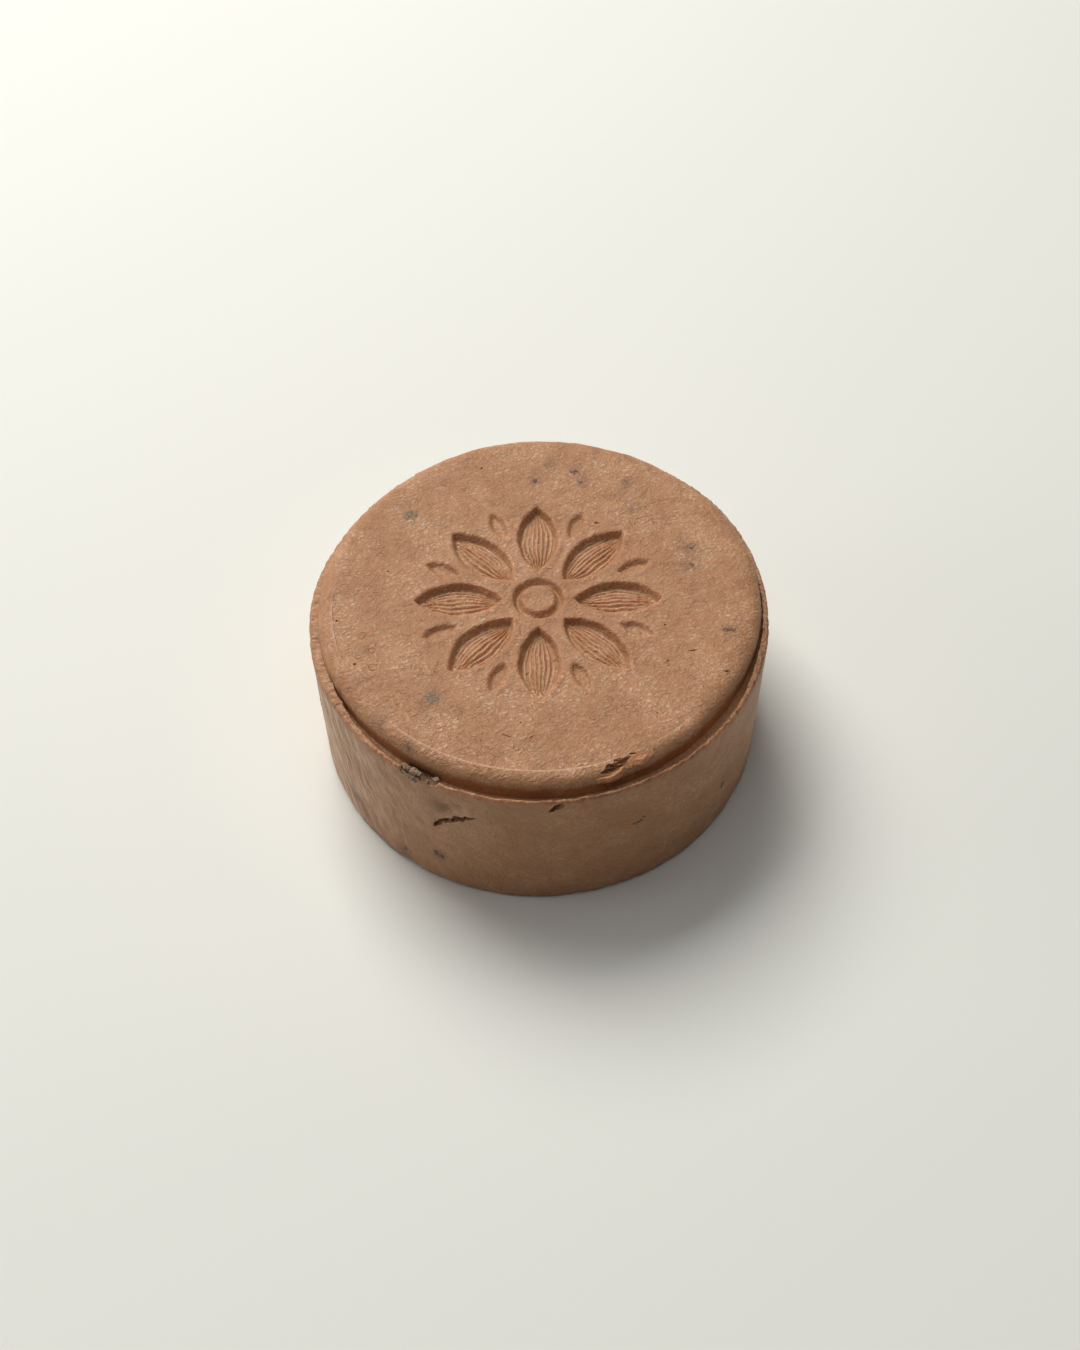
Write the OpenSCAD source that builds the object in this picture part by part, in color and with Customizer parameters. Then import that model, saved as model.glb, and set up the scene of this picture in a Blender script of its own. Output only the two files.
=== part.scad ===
// Round shaving soap puck: a pressed soap block with a pressed rosette on its face, the thin rim of
// flash that the press left round it, and the crumbs, loose flake and flecks that sit in the soap.
// Millimetres, +Z up, origin at the centre of the base, front of the puck towards -Y.
// Directions are angles round +Z, counted from +X.

/* [Puck] */
// Diameter of the puck over its wall
puck_d = 70; // [60:0.5:90]
// Height of the wall, from the base to the top of the flash
wall_h = 27; // [20:0.2:36]
// Radius of the rounded base edge
base_round = 0.8; // [0.3:0.1:1.5]

/* [Flash and groove] */
// Width of the flash at its root
flash_w = 1.1; // [0.8:0.1:2]
// Lean of the flash's inner side, from its root to its top
flash_lean = 0.3; // [0.1:0.1:0.6]
// Height of the flash above the floor of the groove
flash_h = 1.8; // [1:0.1:3]
// Width of the groove between the flash and the shoulder
groove_w = 0.5; // [0.3:0.1:1.5]
// Direction of the middle of the stretch where the flash has broken away
break_angle = -120; // [-180:1:180]
// Angle that the broken stretch spans
break_span = 9; // [8:1:30]

/* [Shoulder and face] */
// Height of the band round the face above the top of the flash
band_rise = 2.3; // [1.5:0.1:5]
// Radius of the rounded shoulder
shoulder_r = 2.1; // [1.5:0.1:2.4]
// Width of the flat band between the shoulder and the face
band_w = 0.4; // [0.2:0.1:1.5]
// Depth of the face below the band
face_sink = 0.2; // [0.1:0.05:0.8]

/* [Rosette] */
// Number of petals
petal_count = 8; // [5:1:10]
// Radius at which the petals start
petal_start_r = 5.6; // [4.8:0.1:7]
// Length of a petal
petal_l = 13; // [8:0.5:15]
// Width of a petal at its middle
petal_w = 6; // [3:0.2:7]
// Depth of a petal below the face
petal_depth = 0.9; // [0.4:0.1:1.6]
// Width of the rib along the middle of a petal
rib_w = 0.9; // [0.5:0.1:1.5]
// Depth of the rib's top below the face
rib_drop = 0.3; // [0.1:0.05:0.35]
// Length of a small leaf between two petals
leaf_l = 5.4; // [3:0.2:7]
// Width of a small leaf at its middle
leaf_w = 2.2; // [1:0.1:3]
// Depth of a small leaf below the face
leaf_depth = 0.6; // [0.3:0.1:1]
// Diameter of the round button in the middle
button_d = 5.2; // [3:0.2:6]
// Width of the sunk ring round the button
ring_w = 1.2; // [0.6:0.1:1.6]
// Depth of the sunk ring below the face
ring_depth = 0.8; // [0.3:0.1:1.2]

/* [Loose flake] */
// Direction of the middle of the flake on the shoulder
flake_angle = -68; // [-100:1:-40]
// Angle that the flake spans
flake_span = 14; // [6:1:30]
// Thickness of the flake at its middle
flake_t = 0.6; // [0.3:0.05:0.8]
// Width of the crack behind the flake
crack_w = 0.3; // [0.1:0.05:0.5]

/* [Crumbs] */
// Number of crumbs that lie where the flash has broken away
crumb_count = 4; // [2:1:4]
// Width of a crumb across its corners
crumb_d = 0.9; // [0.5:0.05:1.1]
// Height of the largest crumb
crumb_h = 0.8; // [0.4:0.05:1.2]

/* [Flecks] */
// Length of the largest plant fleck
herb_l = 2.4; // [1:0.1:3]
// Width of the largest plant fleck
herb_w = 1; // [0.5:0.05:1.4]
// Width of the largest speck of clay
clay_d = 1.8; // [0.8:0.1:2.4]
// Depth to which a fleck reaches into the soap
fleck_depth = 0.6; // [0.3:0.05:1.2]

/* [Hidden] */
$fn = 240;

// Colours as the photo shows them
soap_color = "#B38869";
flash_color = "#B98F72";
crumb_color = "#A87D60";
clay_color = "#77776C";
herb_color = "#4A3325";

// Radii, from the outside in
puck_r = puck_d / 2;
flash_in_r = puck_r - flash_w;
head_r = flash_in_r - groove_w;
ledge_r = (head_r + puck_r) / 2;
face_r = head_r - shoulder_r - band_w;
rosette_r = petal_start_r + petal_l;

// Heights, from the base up
groove_z = wall_h - flash_h;
band_z = wall_h + band_rise;
face_z = band_z - face_sink;

// A cutter runs this far past the face that it opens
overrun = 1;
// Number of corners of a crumb and of a speck of clay
crumb_corners = 5;
speck_corners = 7;
// Each crumb is this share smaller than the one before it
crumb_step = 0.12;

// The small leaves end level with the petals
leaf_start_r = rosette_r - leaf_l;

// The flake is cut off the shoulder by a plane that is tilted by this angle
flake_tilt_angle = 45;
shoulder_centre = [head_r - shoulder_r, band_z - shoulder_r];

// Clay specks in the face: direction, way out across the plain border of the face, size
clay_spots = [[139, 0.64, 0.85], [-131, 0.42, 1]];
// Plant flecks in the face: direction, way out across the plain border of the face, size, turn
face_herbs = [
    [-14, 0.85, 0.85, 14], [72, 0.5, 0.8, 40], [76, 0.68, 0.65, 5],
    [86, 0.38, 0.75, 150], [22, 0.57, 0.7, 60], [13, 0.59, 0.8, 120]
];
// Plant flecks in the wall: direction, way up the wall below the flash, size, turn
wall_herbs = [
    [-127, 0.14, 0.8, 20], [-116, 0.29, 1, -30], [-66, 0.68, 1, 25], [-38, 0.4, 0.75, 60],
    [35, 0.55, 0.85, -15], [118, 0.32, 0.9, 35], [-165, 0.62, 0.8, 10]
];

// Radius at the given way out across the plain border, from the rosette to the face's edge
function border_r(way) = rosette_r + way * (face_r - rosette_r);

// Pointed oval between two arcs, long in X, centred on the origin
module oval(length, width) {
    arc_r = (length * length / 4 + width * width / 4) / width;
    intersection() {
        translate([0, arc_r - width / 2]) circle(r = arc_r);
        translate([0, width / 2 - arc_r]) circle(r = arc_r);
    }
}

// Half section of a bar with one rounded outer corner, at the top or at the bottom
module rounded_half(r, low, high, corner, top) {
    corner_z = top ? high - corner : low + corner;
    translate([0, low]) square([r - corner, high - low]);
    translate([0, top ? low : corner_z]) square([r, high - low - corner]);
    translate([r - corner, corner_z]) circle(r = corner);
}

// Half section of the head that stands inside the flash, up to the band
module head_section() {
    rounded_half(head_r, groove_z - overrun, band_z, shoulder_r, true);
}

// Half section of the block before anything is cut or pressed into it
module block_section() {
    difference() {
        union() {
            rounded_half(puck_r, 0, groove_z, base_round, false);
            head_section();
        }
        translate([0, face_z]) square([face_r, face_sink + overrun]);
    }
}

// Half plane that lies further out than the given depth under the shoulder's rounding
module beyond_shoulder(depth) {
    reach = 4 * shoulder_r;
    translate(shoulder_centre) rotate(flake_tilt_angle)
        translate([shoulder_r - depth, -reach / 2]) square([reach, reach]);
}

// Sector of a turned section, centred on a direction
module sector(direction, span) {
    rotate(direction - span / 2) rotate_extrude(angle = span) children();
}

// Cutter for one petal, long in X, with its rib left standing
module petal_cut() {
    translate([petal_start_r + petal_l / 2, 0, face_z - petal_depth]) difference() {
        linear_extrude(petal_depth + overrun) oval(petal_l, petal_w);
        translate([0, 0, -overrun])
            linear_extrude(petal_depth + overrun - rib_drop) oval(petal_l - 2 * rib_w, rib_w);
    }
}

// Cutter for one small leaf, long in X
module leaf_cut() {
    translate([leaf_start_r + leaf_l / 2, 0, face_z - leaf_depth])
        linear_extrude(leaf_depth + overrun) oval(leaf_l, leaf_w);
}

// All that the die presses into the face
module rosette_cut() {
    pitch = 360 / petal_count;
    for (i = [0 : petal_count - 1]) {
        rotate(i * pitch) petal_cut();
        rotate((i + 0.5) * pitch) leaf_cut();
    }
    translate([0, 0, face_z - ring_depth]) linear_extrude(ring_depth + overrun) difference() {
        circle(d = button_d + 2 * ring_w);
        circle(d = button_d);
    }
}

// Clay specks, flush with the face
module clay_solids() {
    for (spot = clay_spots) {
        direction = spot[0];
        way_out = spot[1];
        size = spot[2];
        rotate(direction) translate([border_r(way_out), 0, face_z - fleck_depth])
            cylinder(d = size * clay_d, h = fleck_depth, $fn = speck_corners);
    }
}

// Plant flecks, flush with the face
module face_herb_solids() {
    for (spot = face_herbs) {
        direction = spot[0];
        way_out = spot[1];
        size = spot[2];
        turn = spot[3];
        rotate(direction) translate([border_r(way_out), 0, face_z - fleck_depth])
            linear_extrude(fleck_depth) rotate(turn) oval(size * herb_l, size * herb_w);
    }
}

// Plant flecks that run out through the wall, from their inner ends
module wall_herb_solids() {
    for (spot = wall_herbs) {
        direction = spot[0];
        way_up = spot[1];
        size = spot[2];
        turn = spot[3];
        rotate(direction) translate([puck_r - fleck_depth, 0, way_up * groove_z]) rotate([90, 0, 90])
            linear_extrude(fleck_depth + overrun) rotate(turn) oval(size * herb_l, size * herb_w);
    }
}

// Pressed block of soap, with a pocket for each piece that sits in it
module soap_block() {
    color(soap_color) difference() {
        rotate_extrude() block_section();
        rosette_cut();
        clay_solids();
        face_herb_solids();
        wall_herb_solids();
        sector(flake_angle, flake_span) beyond_shoulder(flake_t + crack_w);
    }
}

// Thin fin of soap that stands on the wall round the groove, open where it has broken away
module rim_flash() {
    color(flash_color) sector(break_angle + 180, 360 - break_span) polygon([
        [flash_in_r, groove_z],
        [puck_r, groove_z],
        [puck_r, wall_h],
        [flash_in_r + flash_lean, wall_h]
    ]);
}

// Crumbs of the broken flash, lying on the ledge that it has left bare
module rim_crumbs() {
    crumb_pitch = break_span / crumb_count;
    half_corner = 180 / crumb_corners;
    color(crumb_color) for (i = [0 : crumb_count - 1]) {
        size = 1 - i * crumb_step;
        rotate(break_angle + crumb_pitch * (i - (crumb_count - 1) / 2))
            translate([ledge_r, 0, groove_z]) rotate(i * half_corner)
                cylinder(d = crumb_d * size, h = crumb_h * size, $fn = crumb_corners);
    }
}

// Flake that has cracked off the shoulder and is held in its notch by its two ends
module shoulder_flake() {
    color(soap_color) sector(flake_angle, flake_span) intersection() {
        head_section();
        beyond_shoulder(flake_t);
    }
}

// Specks of clay that show at the face
module clay_flecks() {
    color(clay_color) clay_solids();
}

// Plant flecks that show at the face and at the wall
module herb_flecks() {
    color(herb_color) {
        face_herb_solids();
        intersection() {
            wall_herb_solids();
            cylinder(r = puck_r, h = wall_h);
        }
    }
}

soap_block();
rim_flash();
rim_crumbs();
shoulder_flake();
clay_flecks();
herb_flecks();
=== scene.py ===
"""Visual model of a pressed shaving soap puck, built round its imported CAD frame.

A turned section gives the block and its rim of flash. Both are then worked over as the real puck was:
the die presses a rosette into the face, the mould drags along the wall, the rim breaks, and cracks and
pits open. Sizes are in millimetres and directions in degrees round +Z from +X, until a mesh is made.
"""

import logging
import math
import random
from abc import ABC, abstractmethod
from contextlib import contextmanager
from dataclasses import dataclass
from enum import Enum
from functools import partial
from typing import Callable, ClassVar, Iterator, Sequence

import bpy
from mathutils import Euler, Matrix, Vector, noise


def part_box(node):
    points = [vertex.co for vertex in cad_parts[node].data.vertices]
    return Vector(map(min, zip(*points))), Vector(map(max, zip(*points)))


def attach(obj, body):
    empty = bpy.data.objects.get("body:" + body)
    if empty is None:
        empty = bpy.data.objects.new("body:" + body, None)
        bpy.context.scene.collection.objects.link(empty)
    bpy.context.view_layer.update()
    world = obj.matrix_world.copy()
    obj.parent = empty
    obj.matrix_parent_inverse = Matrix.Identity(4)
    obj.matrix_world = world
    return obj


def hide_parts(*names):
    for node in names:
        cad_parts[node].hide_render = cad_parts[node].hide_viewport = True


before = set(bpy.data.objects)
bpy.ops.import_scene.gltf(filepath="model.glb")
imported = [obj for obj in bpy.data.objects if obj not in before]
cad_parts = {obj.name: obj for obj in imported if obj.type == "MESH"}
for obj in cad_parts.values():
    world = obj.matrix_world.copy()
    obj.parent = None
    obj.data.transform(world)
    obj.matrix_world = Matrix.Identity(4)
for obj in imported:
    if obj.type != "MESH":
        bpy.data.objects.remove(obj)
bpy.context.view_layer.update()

LOG = logging.getLogger("soap_puck")
MM = 0.001

Socket = bpy.types.NodeSocket
Fields = dict[str, bpy.types.NodeSocket]


class Node(Enum):
    """CAD nodes that the visual pieces stand for."""

    SOAP_BLOCK = "soap_block"
    RIM_FLASH = "rim_flash"
    RIM_CRUMBS = "rim_crumbs"
    SHOULDER_FLAKE = "shoulder_flake"
    CLAY_FLECKS = "clay_flecks"
    HERB_FLECKS = "herb_flecks"


class Slot(Enum):
    """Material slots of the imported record."""

    SOAP = "soap"
    FLASH = "soap_flash"
    CRUMB = "soap_crumb"
    CLAY = "clay"
    HERB = "herb"


class Mark(Enum):
    """Vertex attributes: torn, glossy, streaked and stained soap, and where highlights, glints, sheen and
    shade are painted.
    """

    # Torn soap, and on the fin's top also painted glints
    TORN_AND_GLINT = "torn"
    # Gloss, with a painted highlight on the same places
    GLOSS_AND_HIGHLIGHT = "gloss_and_highlight"
    # Where painted glints on the folds and painted shade in the wrinkles show
    GLINTS_AND_WRINKLES = "glints_and_wrinkles"
    # Where the wall's streaks, their painted sheen and their darker stripes show
    DRAG_AND_SHEEN = "drag_and_sheen"
    # Stains, and painted shade on the bared ledge, in the scars and on the fin's dull top
    STAIN_AND_SHADE = "stain_and_shade"


def linear(hex_colour: str) -> tuple[float, float, float, float]:
    """Turns an sRGB hex colour into linear RGBA.

    Args:
        hex_colour: Six hex digits after a hash sign.

    Returns:
        Linear red, green and blue, and an alpha of one.
    """
    shares = [int(hex_colour[i : i + 2], 16) / 255 for i in (1, 3, 5)]
    red, green, blue = (s / 12.92 if s <= 0.04045 else ((s + 0.055) / 1.055) ** 2.4 for s in shares)
    return red, green, blue, 1.0


def smooth_step(low: float, high: float, value: float) -> float:
    """Rises smoothly from 0 at low to 1 at high."""
    share = min(max((value - low) / (high - low), 0.0), 1.0)
    return share * share * (3 - 2 * share)


def bell(value: float, reach: float) -> float:
    """Bell curve of height 1 round zero."""
    return math.exp(-((value / reach) ** 2))


def apart(direction: float, other: float) -> float:
    """Angle from one direction to another, between -180 and 180."""
    return (direction - other + 180) % 360 - 180


def direction_of(place: Vector) -> float:
    """Direction in which a point lies from the puck's axis."""
    return math.degrees(math.atan2(place.y, place.x))


def polar(radius: float, direction: float, height: float) -> Vector:
    """Point at a radius, a direction and a height."""
    turn = math.radians(direction)
    return Vector((radius * math.cos(turn), radius * math.sin(turn), height))


def ripple(place: Vector, feature: float, seed: float = 0.0, octaves: int = 3) -> float:
    """Fractal noise of about -1 to 1.

    Args:
        place: Where to read it.
        feature: Size of its largest lumps.
        seed: Shifts it to another part of the noise field.
        octaves: Number of finer layers.

    Returns:
        The noise at that place.
    """
    return noise.fractal(place / feature + Vector((seed, seed * 1.7, seed * 0.6)), 1.0, 2.0, octaves)


def shake(place: Vector, feature: float, seed: float = 0.0) -> Vector:
    """Fractal noise in all three axes, each of about -1 to 1."""
    return Vector([ripple(place, feature, seed + axis * 11.3) for axis in range(3)])


def stretch(start: float, end: float, pitch: float) -> list[float]:
    """Even steps of about a pitch from start up to, but not including, end."""
    count = max(1, round(abs(end - start) / pitch))
    return [start + (end - start) * i / count for i in range(count)]


@contextmanager
def editing(piece: bpy.types.Object) -> Iterator[None]:
    """Opens one object in edit mode with nothing else selected, and closes it again.

    Args:
        piece: Mesh object to edit.

    Yields:
        Nothing, while the object is open.
    """
    bpy.ops.object.select_all(action="DESELECT")
    bpy.context.view_layer.objects.active = piece
    piece.select_set(True)
    bpy.ops.object.mode_set(mode="EDIT")
    yield
    bpy.ops.object.mode_set(mode="OBJECT")


def named(name: str) -> bpy.types.Object:
    """Names the object that an operator has just added, and its mesh.

    Args:
        name: Name for both.

    Returns:
        The object.
    """
    piece = bpy.context.object
    piece.name = piece.data.name = name
    return piece


def turned(name: str, section: Sequence[tuple[float, float]], steps: int, start: float = 0.0,
           span: float = 360.0, loop: bool = False) -> bpy.types.Object:
    """Turns a section about +Z into a closed mesh.

    Args:
        name: Name of the object.
        section: Radius and height of each corner.
        steps: Number of steps round.
        start: Direction of the first step.
        span: Angle that the steps cover, counter-clockwise.
        loop: Whether the section closes on itself, and so leaves two ends to fill.

    Returns:
        The object, with its faces pointing outwards.
    """
    places = [polar(radius, start, height) for radius, height in section]
    bpy.ops.object.select_all(action="DESELECT")
    bpy.ops.mesh.primitive_plane_add(size=MM)
    piece = named(name)
    with editing(piece):
        bpy.ops.mesh.select_all(action="SELECT")
        bpy.ops.mesh.merge(type="CENTER")
        bpy.ops.transform.translate(value=places[0] * MM)
        for here, there in zip(places, places[1:]):
            bpy.ops.mesh.extrude_vertices_move(TRANSFORM_OT_translate={"value": (there - here) * MM})
        bpy.ops.mesh.select_all(action="SELECT")
        if loop:
            bpy.ops.mesh.edge_face_add()
            bpy.ops.mesh.delete(type="ONLY_FACE")
    screw = piece.modifiers.new("turn", "SCREW")
    screw.axis = "Z"
    screw.angle = math.radians(span)
    screw.steps = screw.render_steps = steps
    bpy.ops.object.modifier_apply(modifier=screw.name)
    with editing(piece):
        bpy.ops.mesh.select_all(action="SELECT")
        bpy.ops.mesh.remove_doubles(threshold=1e-6)
        if loop:
            bpy.ops.mesh.fill_holes(sides=0)
        bpy.ops.mesh.normals_make_consistent(inside=False)
    return piece


def heap(name: str, balls: Sequence[tuple[Vector, Euler, Vector]], detail: int) -> bpy.types.Object:
    """Makes one mesh of squashed balls, from which crumbs and flecks are shaped.

    Args:
        name: Name of the object.
        balls: Middle, turn and half sizes of each ball.
        detail: Subdivisions of each ball.

    Returns:
        The object, at the origin.
    """
    bpy.ops.object.select_all(action="DESELECT")
    bpy.ops.mesh.primitive_plane_add(size=MM)
    piece = named(name)
    with editing(piece):
        bpy.ops.mesh.select_all(action="SELECT")
        bpy.ops.mesh.delete(type="VERT")
        for middle, turn, half in balls:
            bpy.ops.mesh.primitive_ico_sphere_add(
                subdivisions=detail, radius=1, location=middle * MM, rotation=turn, scale=half * MM)
    return piece


def joined(pieces: Sequence[bpy.types.Object]) -> bpy.types.Object:
    """Joins mesh objects into the first of them.

    Args:
        pieces: Objects to join.

    Returns:
        The first object, with all the others in it.
    """
    bpy.ops.object.select_all(action="DESELECT")
    for piece in pieces:
        piece.select_set(True)
    bpy.context.view_layer.objects.active = pieces[0]
    bpy.ops.object.join()
    return pieces[0]


def sculpt(piece: bpy.types.Object, shift: Callable[[Vector], Vector]) -> None:
    """Moves each vertex by what a function of its place gives.

    Args:
        piece: Mesh object to work on.
        shift: Gives the move for a place.
    """
    for vertex in piece.data.vertices:
        vertex.co += shift(vertex.co / MM) * MM


def paint(piece: bpy.types.Object, mark: Mark, amount: Callable[[Vector], float]) -> None:
    """Writes a vertex attribute from a function of each vertex's place.

    Args:
        piece: Mesh object to mark.
        mark: Attribute to write.
        amount: Gives the value, from 0 to 1, for a place.
    """
    values = [amount(vertex.co / MM) for vertex in piece.data.vertices]
    layer = piece.data.attributes.new(mark.value, "FLOAT", "POINT")
    layer.data.foreach_set("value", values)


def carve(piece: bpy.types.Object, tool: bpy.types.Object) -> None:
    """Cuts a closed tool out of a closed piece and removes the tool.

    Args:
        piece: Mesh object to cut.
        tool: Mesh object to cut with.
    """
    bpy.ops.object.select_all(action="DESELECT")
    bpy.context.view_layer.objects.active = piece
    cut = piece.modifiers.new("carve", "BOOLEAN")
    cut.operation = "DIFFERENCE"
    cut.solver = "MANIFOLD"
    cut.object = tool
    bpy.ops.object.modifier_apply(modifier=cut.name)
    bpy.data.objects.remove(tool)


def add_node(tree: bpy.types.NodeTree, kind: str, inputs: dict | None = None,
             **settings: object) -> bpy.types.Node:
    """Adds a shader node, sets its properties, and fills or links its inputs.

    Args:
        tree: Node tree to add to.
        kind: Blender's name for the node.
        inputs: Value, or socket to link from, for each input by name or number.
        settings: Properties of the node.

    Returns:
        The new node.
    """
    node = tree.nodes.new(kind)
    for name, value in settings.items():
        setattr(node, name, value)
    for name, value in (inputs or {}).items():
        if isinstance(value, bpy.types.NodeSocket):
            tree.links.new(value, node.inputs[name])
        else:
            node.inputs[name].default_value = value
    return node


@dataclass(frozen=True)
class Spot:
    """Round mark on the puck's surface that fades out from its middle."""

    middle: Vector
    reach: float
    strength: float

    @classmethod
    def on_puck(cls, radius: float, direction: float, height: float, reach: float, strength: float) -> "Spot":
        """Makes a spot from the radius, direction and height of its middle."""
        return cls(polar(radius, direction, height), reach, strength)

    def weight(self, place: Vector) -> float:
        """Strength of the mark at a point."""
        return self.strength * bell((place - self.middle).length, self.reach)


@dataclass(frozen=True)
class Arc:
    """Stretch of the puck's round that is strongest in one direction and fades out to both sides of it."""

    direction: float
    reach: float
    strength: float = 1.0

    def weight(self, direction: float) -> float:
        """Strength of the stretch in a direction."""
        return self.strength * bell(apart(direction, self.direction), self.reach)


@dataclass(frozen=True)
class Sector:
    """Stretch of the puck's round between two directions, full in its middle and soft at both ends."""

    start: float
    full_from: float
    full_to: float
    end: float
    strength: float = 1.0

    def weight(self, direction: float) -> float:
        """Strength of the stretch in a direction."""
        opening = smooth_step(self.start, self.full_from, direction)
        return self.strength * opening * smooth_step(self.end, self.full_to, direction)


# Soft chips in the wall: radius, direction, height, reach and depth
WALL_CHIPS = tuple(Spot.on_puck(*chip) for chip in (
    (35, -112.6, 21.6, 1.2, 0.6), (35, -109.4, 22.4, 1.0, 0.5), (35, -115.5, 16.8, 1.3, 0.35),
    (35, -124.0, 12.0, 2.6, 0.25), (35, -71.0, 12.5, 2.2, 0.2), (35, -141.0, 18.0, 2.0, 0.2),
    (35, -76.0, 22.5, 1.2, 0.25), (35, -98.0, 9.0, 1.8, 0.2)))


@dataclass(frozen=True)
class Puck:
    """Sizes and uneven outline that the block, the flash and what sits on them share."""

    radius: float
    ledge_z: float
    rim_z: float
    band_z: float
    base_round: float = 0.8
    base_taper: float = 0.05
    # How far the visual puck stays inside the CAD one, at the wall and at the top
    inset: float = 0.02
    headroom: float = 0.005
    flash_w: float = 1.1
    groove_w: float = 0.5
    shoulder_r: float = 2.1
    band_w: float = 0.4
    face_sink: float = 0.2
    break_direction: float = -120.0
    break_span: float = 9.0
    # Direction in which the mould's drag lines and their painted sheen are clearest, how far they reach, and
    # their lean from upright
    drag_direction: float = -152.0
    drag_reach: float = 26.0
    drag_lean: float = 20.0
    # Width of a drag line, and how much of the noise's own change down the wall it keeps
    drag_w: float = 1.1
    drag_change: float = 0.12
    # How far the head stands out over the back right and at the left, and from which radius that grows
    right_swell: Sector = Sector(start=-47, full_from=3, full_to=93, end=143, strength=0.9)
    left_swell: Arc = Arc(direction=180, reach=40, strength=0.2)
    swell_start: float = 24.0
    # Where the wall is full and where it is flattened
    wall_bulge: Arc = Arc(direction=38, reach=22, strength=0.45)
    wall_flat: Arc = Arc(direction=148, reach=24, strength=-0.7)
    # Width of the groove's floor at the front and the right, and how far the flash leans in elsewhere
    front_groove: Sector = Sector(start=-141, full_from=-109, full_to=-45, end=-13, strength=0.55)
    right_groove: Arc = Arc(direction=0, reach=15, strength=0.12)
    groove_closed: float = 0.12
    # Depths of the wall's soft dents, its drag lines and the wear of its foot
    broad_dent: float = 0.15
    small_dent: float = 0.12
    drag_depth: float = 0.12
    foot_wear: float = 0.3

    @classmethod
    def from_frame(cls) -> "Puck":
        """Takes the main sizes from the boxes of the CAD block and flash.

        Returns:
            The puck's sizes.
        """
        block_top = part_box(Node.SOAP_BLOCK.value)[1] / MM
        flash_low, flash_top = (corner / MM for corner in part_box(Node.RIM_FLASH.value))
        return cls(radius=block_top.x, ledge_z=flash_low.z, rim_z=flash_top.z, band_z=block_top.z)

    @property
    def head_r(self) -> float:
        """Radius of the head that stands inside the flash."""
        return self.radius - self.flash_w - self.groove_w

    @property
    def face_r(self) -> float:
        """Radius of the sunk face."""
        return self.head_r - self.shoulder_r - self.band_w

    @property
    def face_z(self) -> float:
        """Height of the sunk face."""
        return self.band_z - self.face_sink

    @property
    def top_z(self) -> float:
        """Height that nothing rises above."""
        return self.band_z - self.headroom

    @property
    def shoulder_centre(self) -> tuple[float, float]:
        """Radius and height of the middle of the shoulder's rounding."""
        return self.head_r - self.shoulder_r, self.band_z - self.shoulder_r

    def swell(self, direction: float) -> float:
        """How far the head stands further out than a round one, most of all at the back and the right."""
        return self.right_swell.weight(direction) + self.left_swell.weight(direction)

    def out_of_round(self, direction: float) -> float:
        """How far the wall departs from round: full at the back right, flattened at the back left."""
        return self.wall_bulge.weight(direction) + self.wall_flat.weight(direction)

    def groove(self, direction: float) -> float:
        """Width of the groove's floor: open at the front, and closed where the flash leans on the head."""
        return self.front_groove.weight(direction) + self.right_groove.weight(direction) - self.groove_closed

    def in_break(self, direction: float) -> float:
        """1 where the flash has broken away, falling to 0 at both ends of that stretch."""
        return smooth_step(0.54, 0.48, abs(apart(direction, self.break_direction)) / self.break_span)

    def flash_width(self, direction: float) -> float:
        """Width of the flash at its root, between the groove and the wall."""
        inner = self.head_r + self.swell(direction) + self.groove(direction)
        return self.radius + self.out_of_round(direction) - inner

    def outward(self, place: Vector) -> Vector:
        """Direction in which the surface faces at a point on the wall, the shoulder or the face.

        Args:
            place: Point on the surface.

        Returns:
            A vector of length one.
        """
        out = Vector((place.x, place.y, 0)).normalized()
        centre_r, centre_z = self.shoulder_centre
        across = max(math.hypot(place.x, place.y) - centre_r, 0.0)
        up = max(place.z - centre_z, 0.0)
        return (out * across + Vector((0, 0, up))).normalized()

    def drag(self, place: Vector) -> float:
        """Streaks that the mould drew down the wall, of about -1 to 1.

        Args:
            place: Point on the wall.

        Returns:
            The streak's height, negative in its hollows.
        """
        lag = (self.rim_z - place.z) * math.tan(math.radians(self.drag_lean))
        turn = direction_of(place) - math.degrees(lag / self.radius)
        return ripple(polar(self.radius, turn, place.z * self.drag_change), self.drag_w, 5.2)

    def drag_and_sheen(self, place: Vector) -> float:
        """How clearly drag streaks, their painted sheen and darker stripes show at a point of the wall: most
        of all at the left.
        """
        left = bell(apart(direction_of(place), self.drag_direction), self.drag_reach)
        return left * smooth_step(self.rim_z - 0.3, self.ledge_z, place.z)

    def wall_shift(self, place: Vector) -> Vector:
        """Unevenness of the wall: taper, soft dents, drag lines of the mould, chips and a worn base edge.

        Args:
            place: Point on the wall.

        Returns:
            How far the point moves.
        """
        out = Vector((place.x, place.y, 0)).normalized()
        taper = self.inset + self.base_taper * (1 - place.z / self.rim_z)
        dent = self.broad_dent * max(0.0, ripple(place, 11, 3.1))
        dent += self.small_dent * max(0.0, ripple(place, 2.6, 8.4))
        drawn = self.drag_depth * max(0.0, -self.drag(place))
        foot = smooth_step(3.5, 0.0, place.z)
        worn = self.foot_wear * foot * max(0.0, ripple(out * self.radius, 6, 1.3))
        chipped = sum(chip.weight(place) for chip in WALL_CHIPS)
        return out * (self.out_of_round(direction_of(place)) - taper - dent - drawn - worn - chipped)


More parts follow.
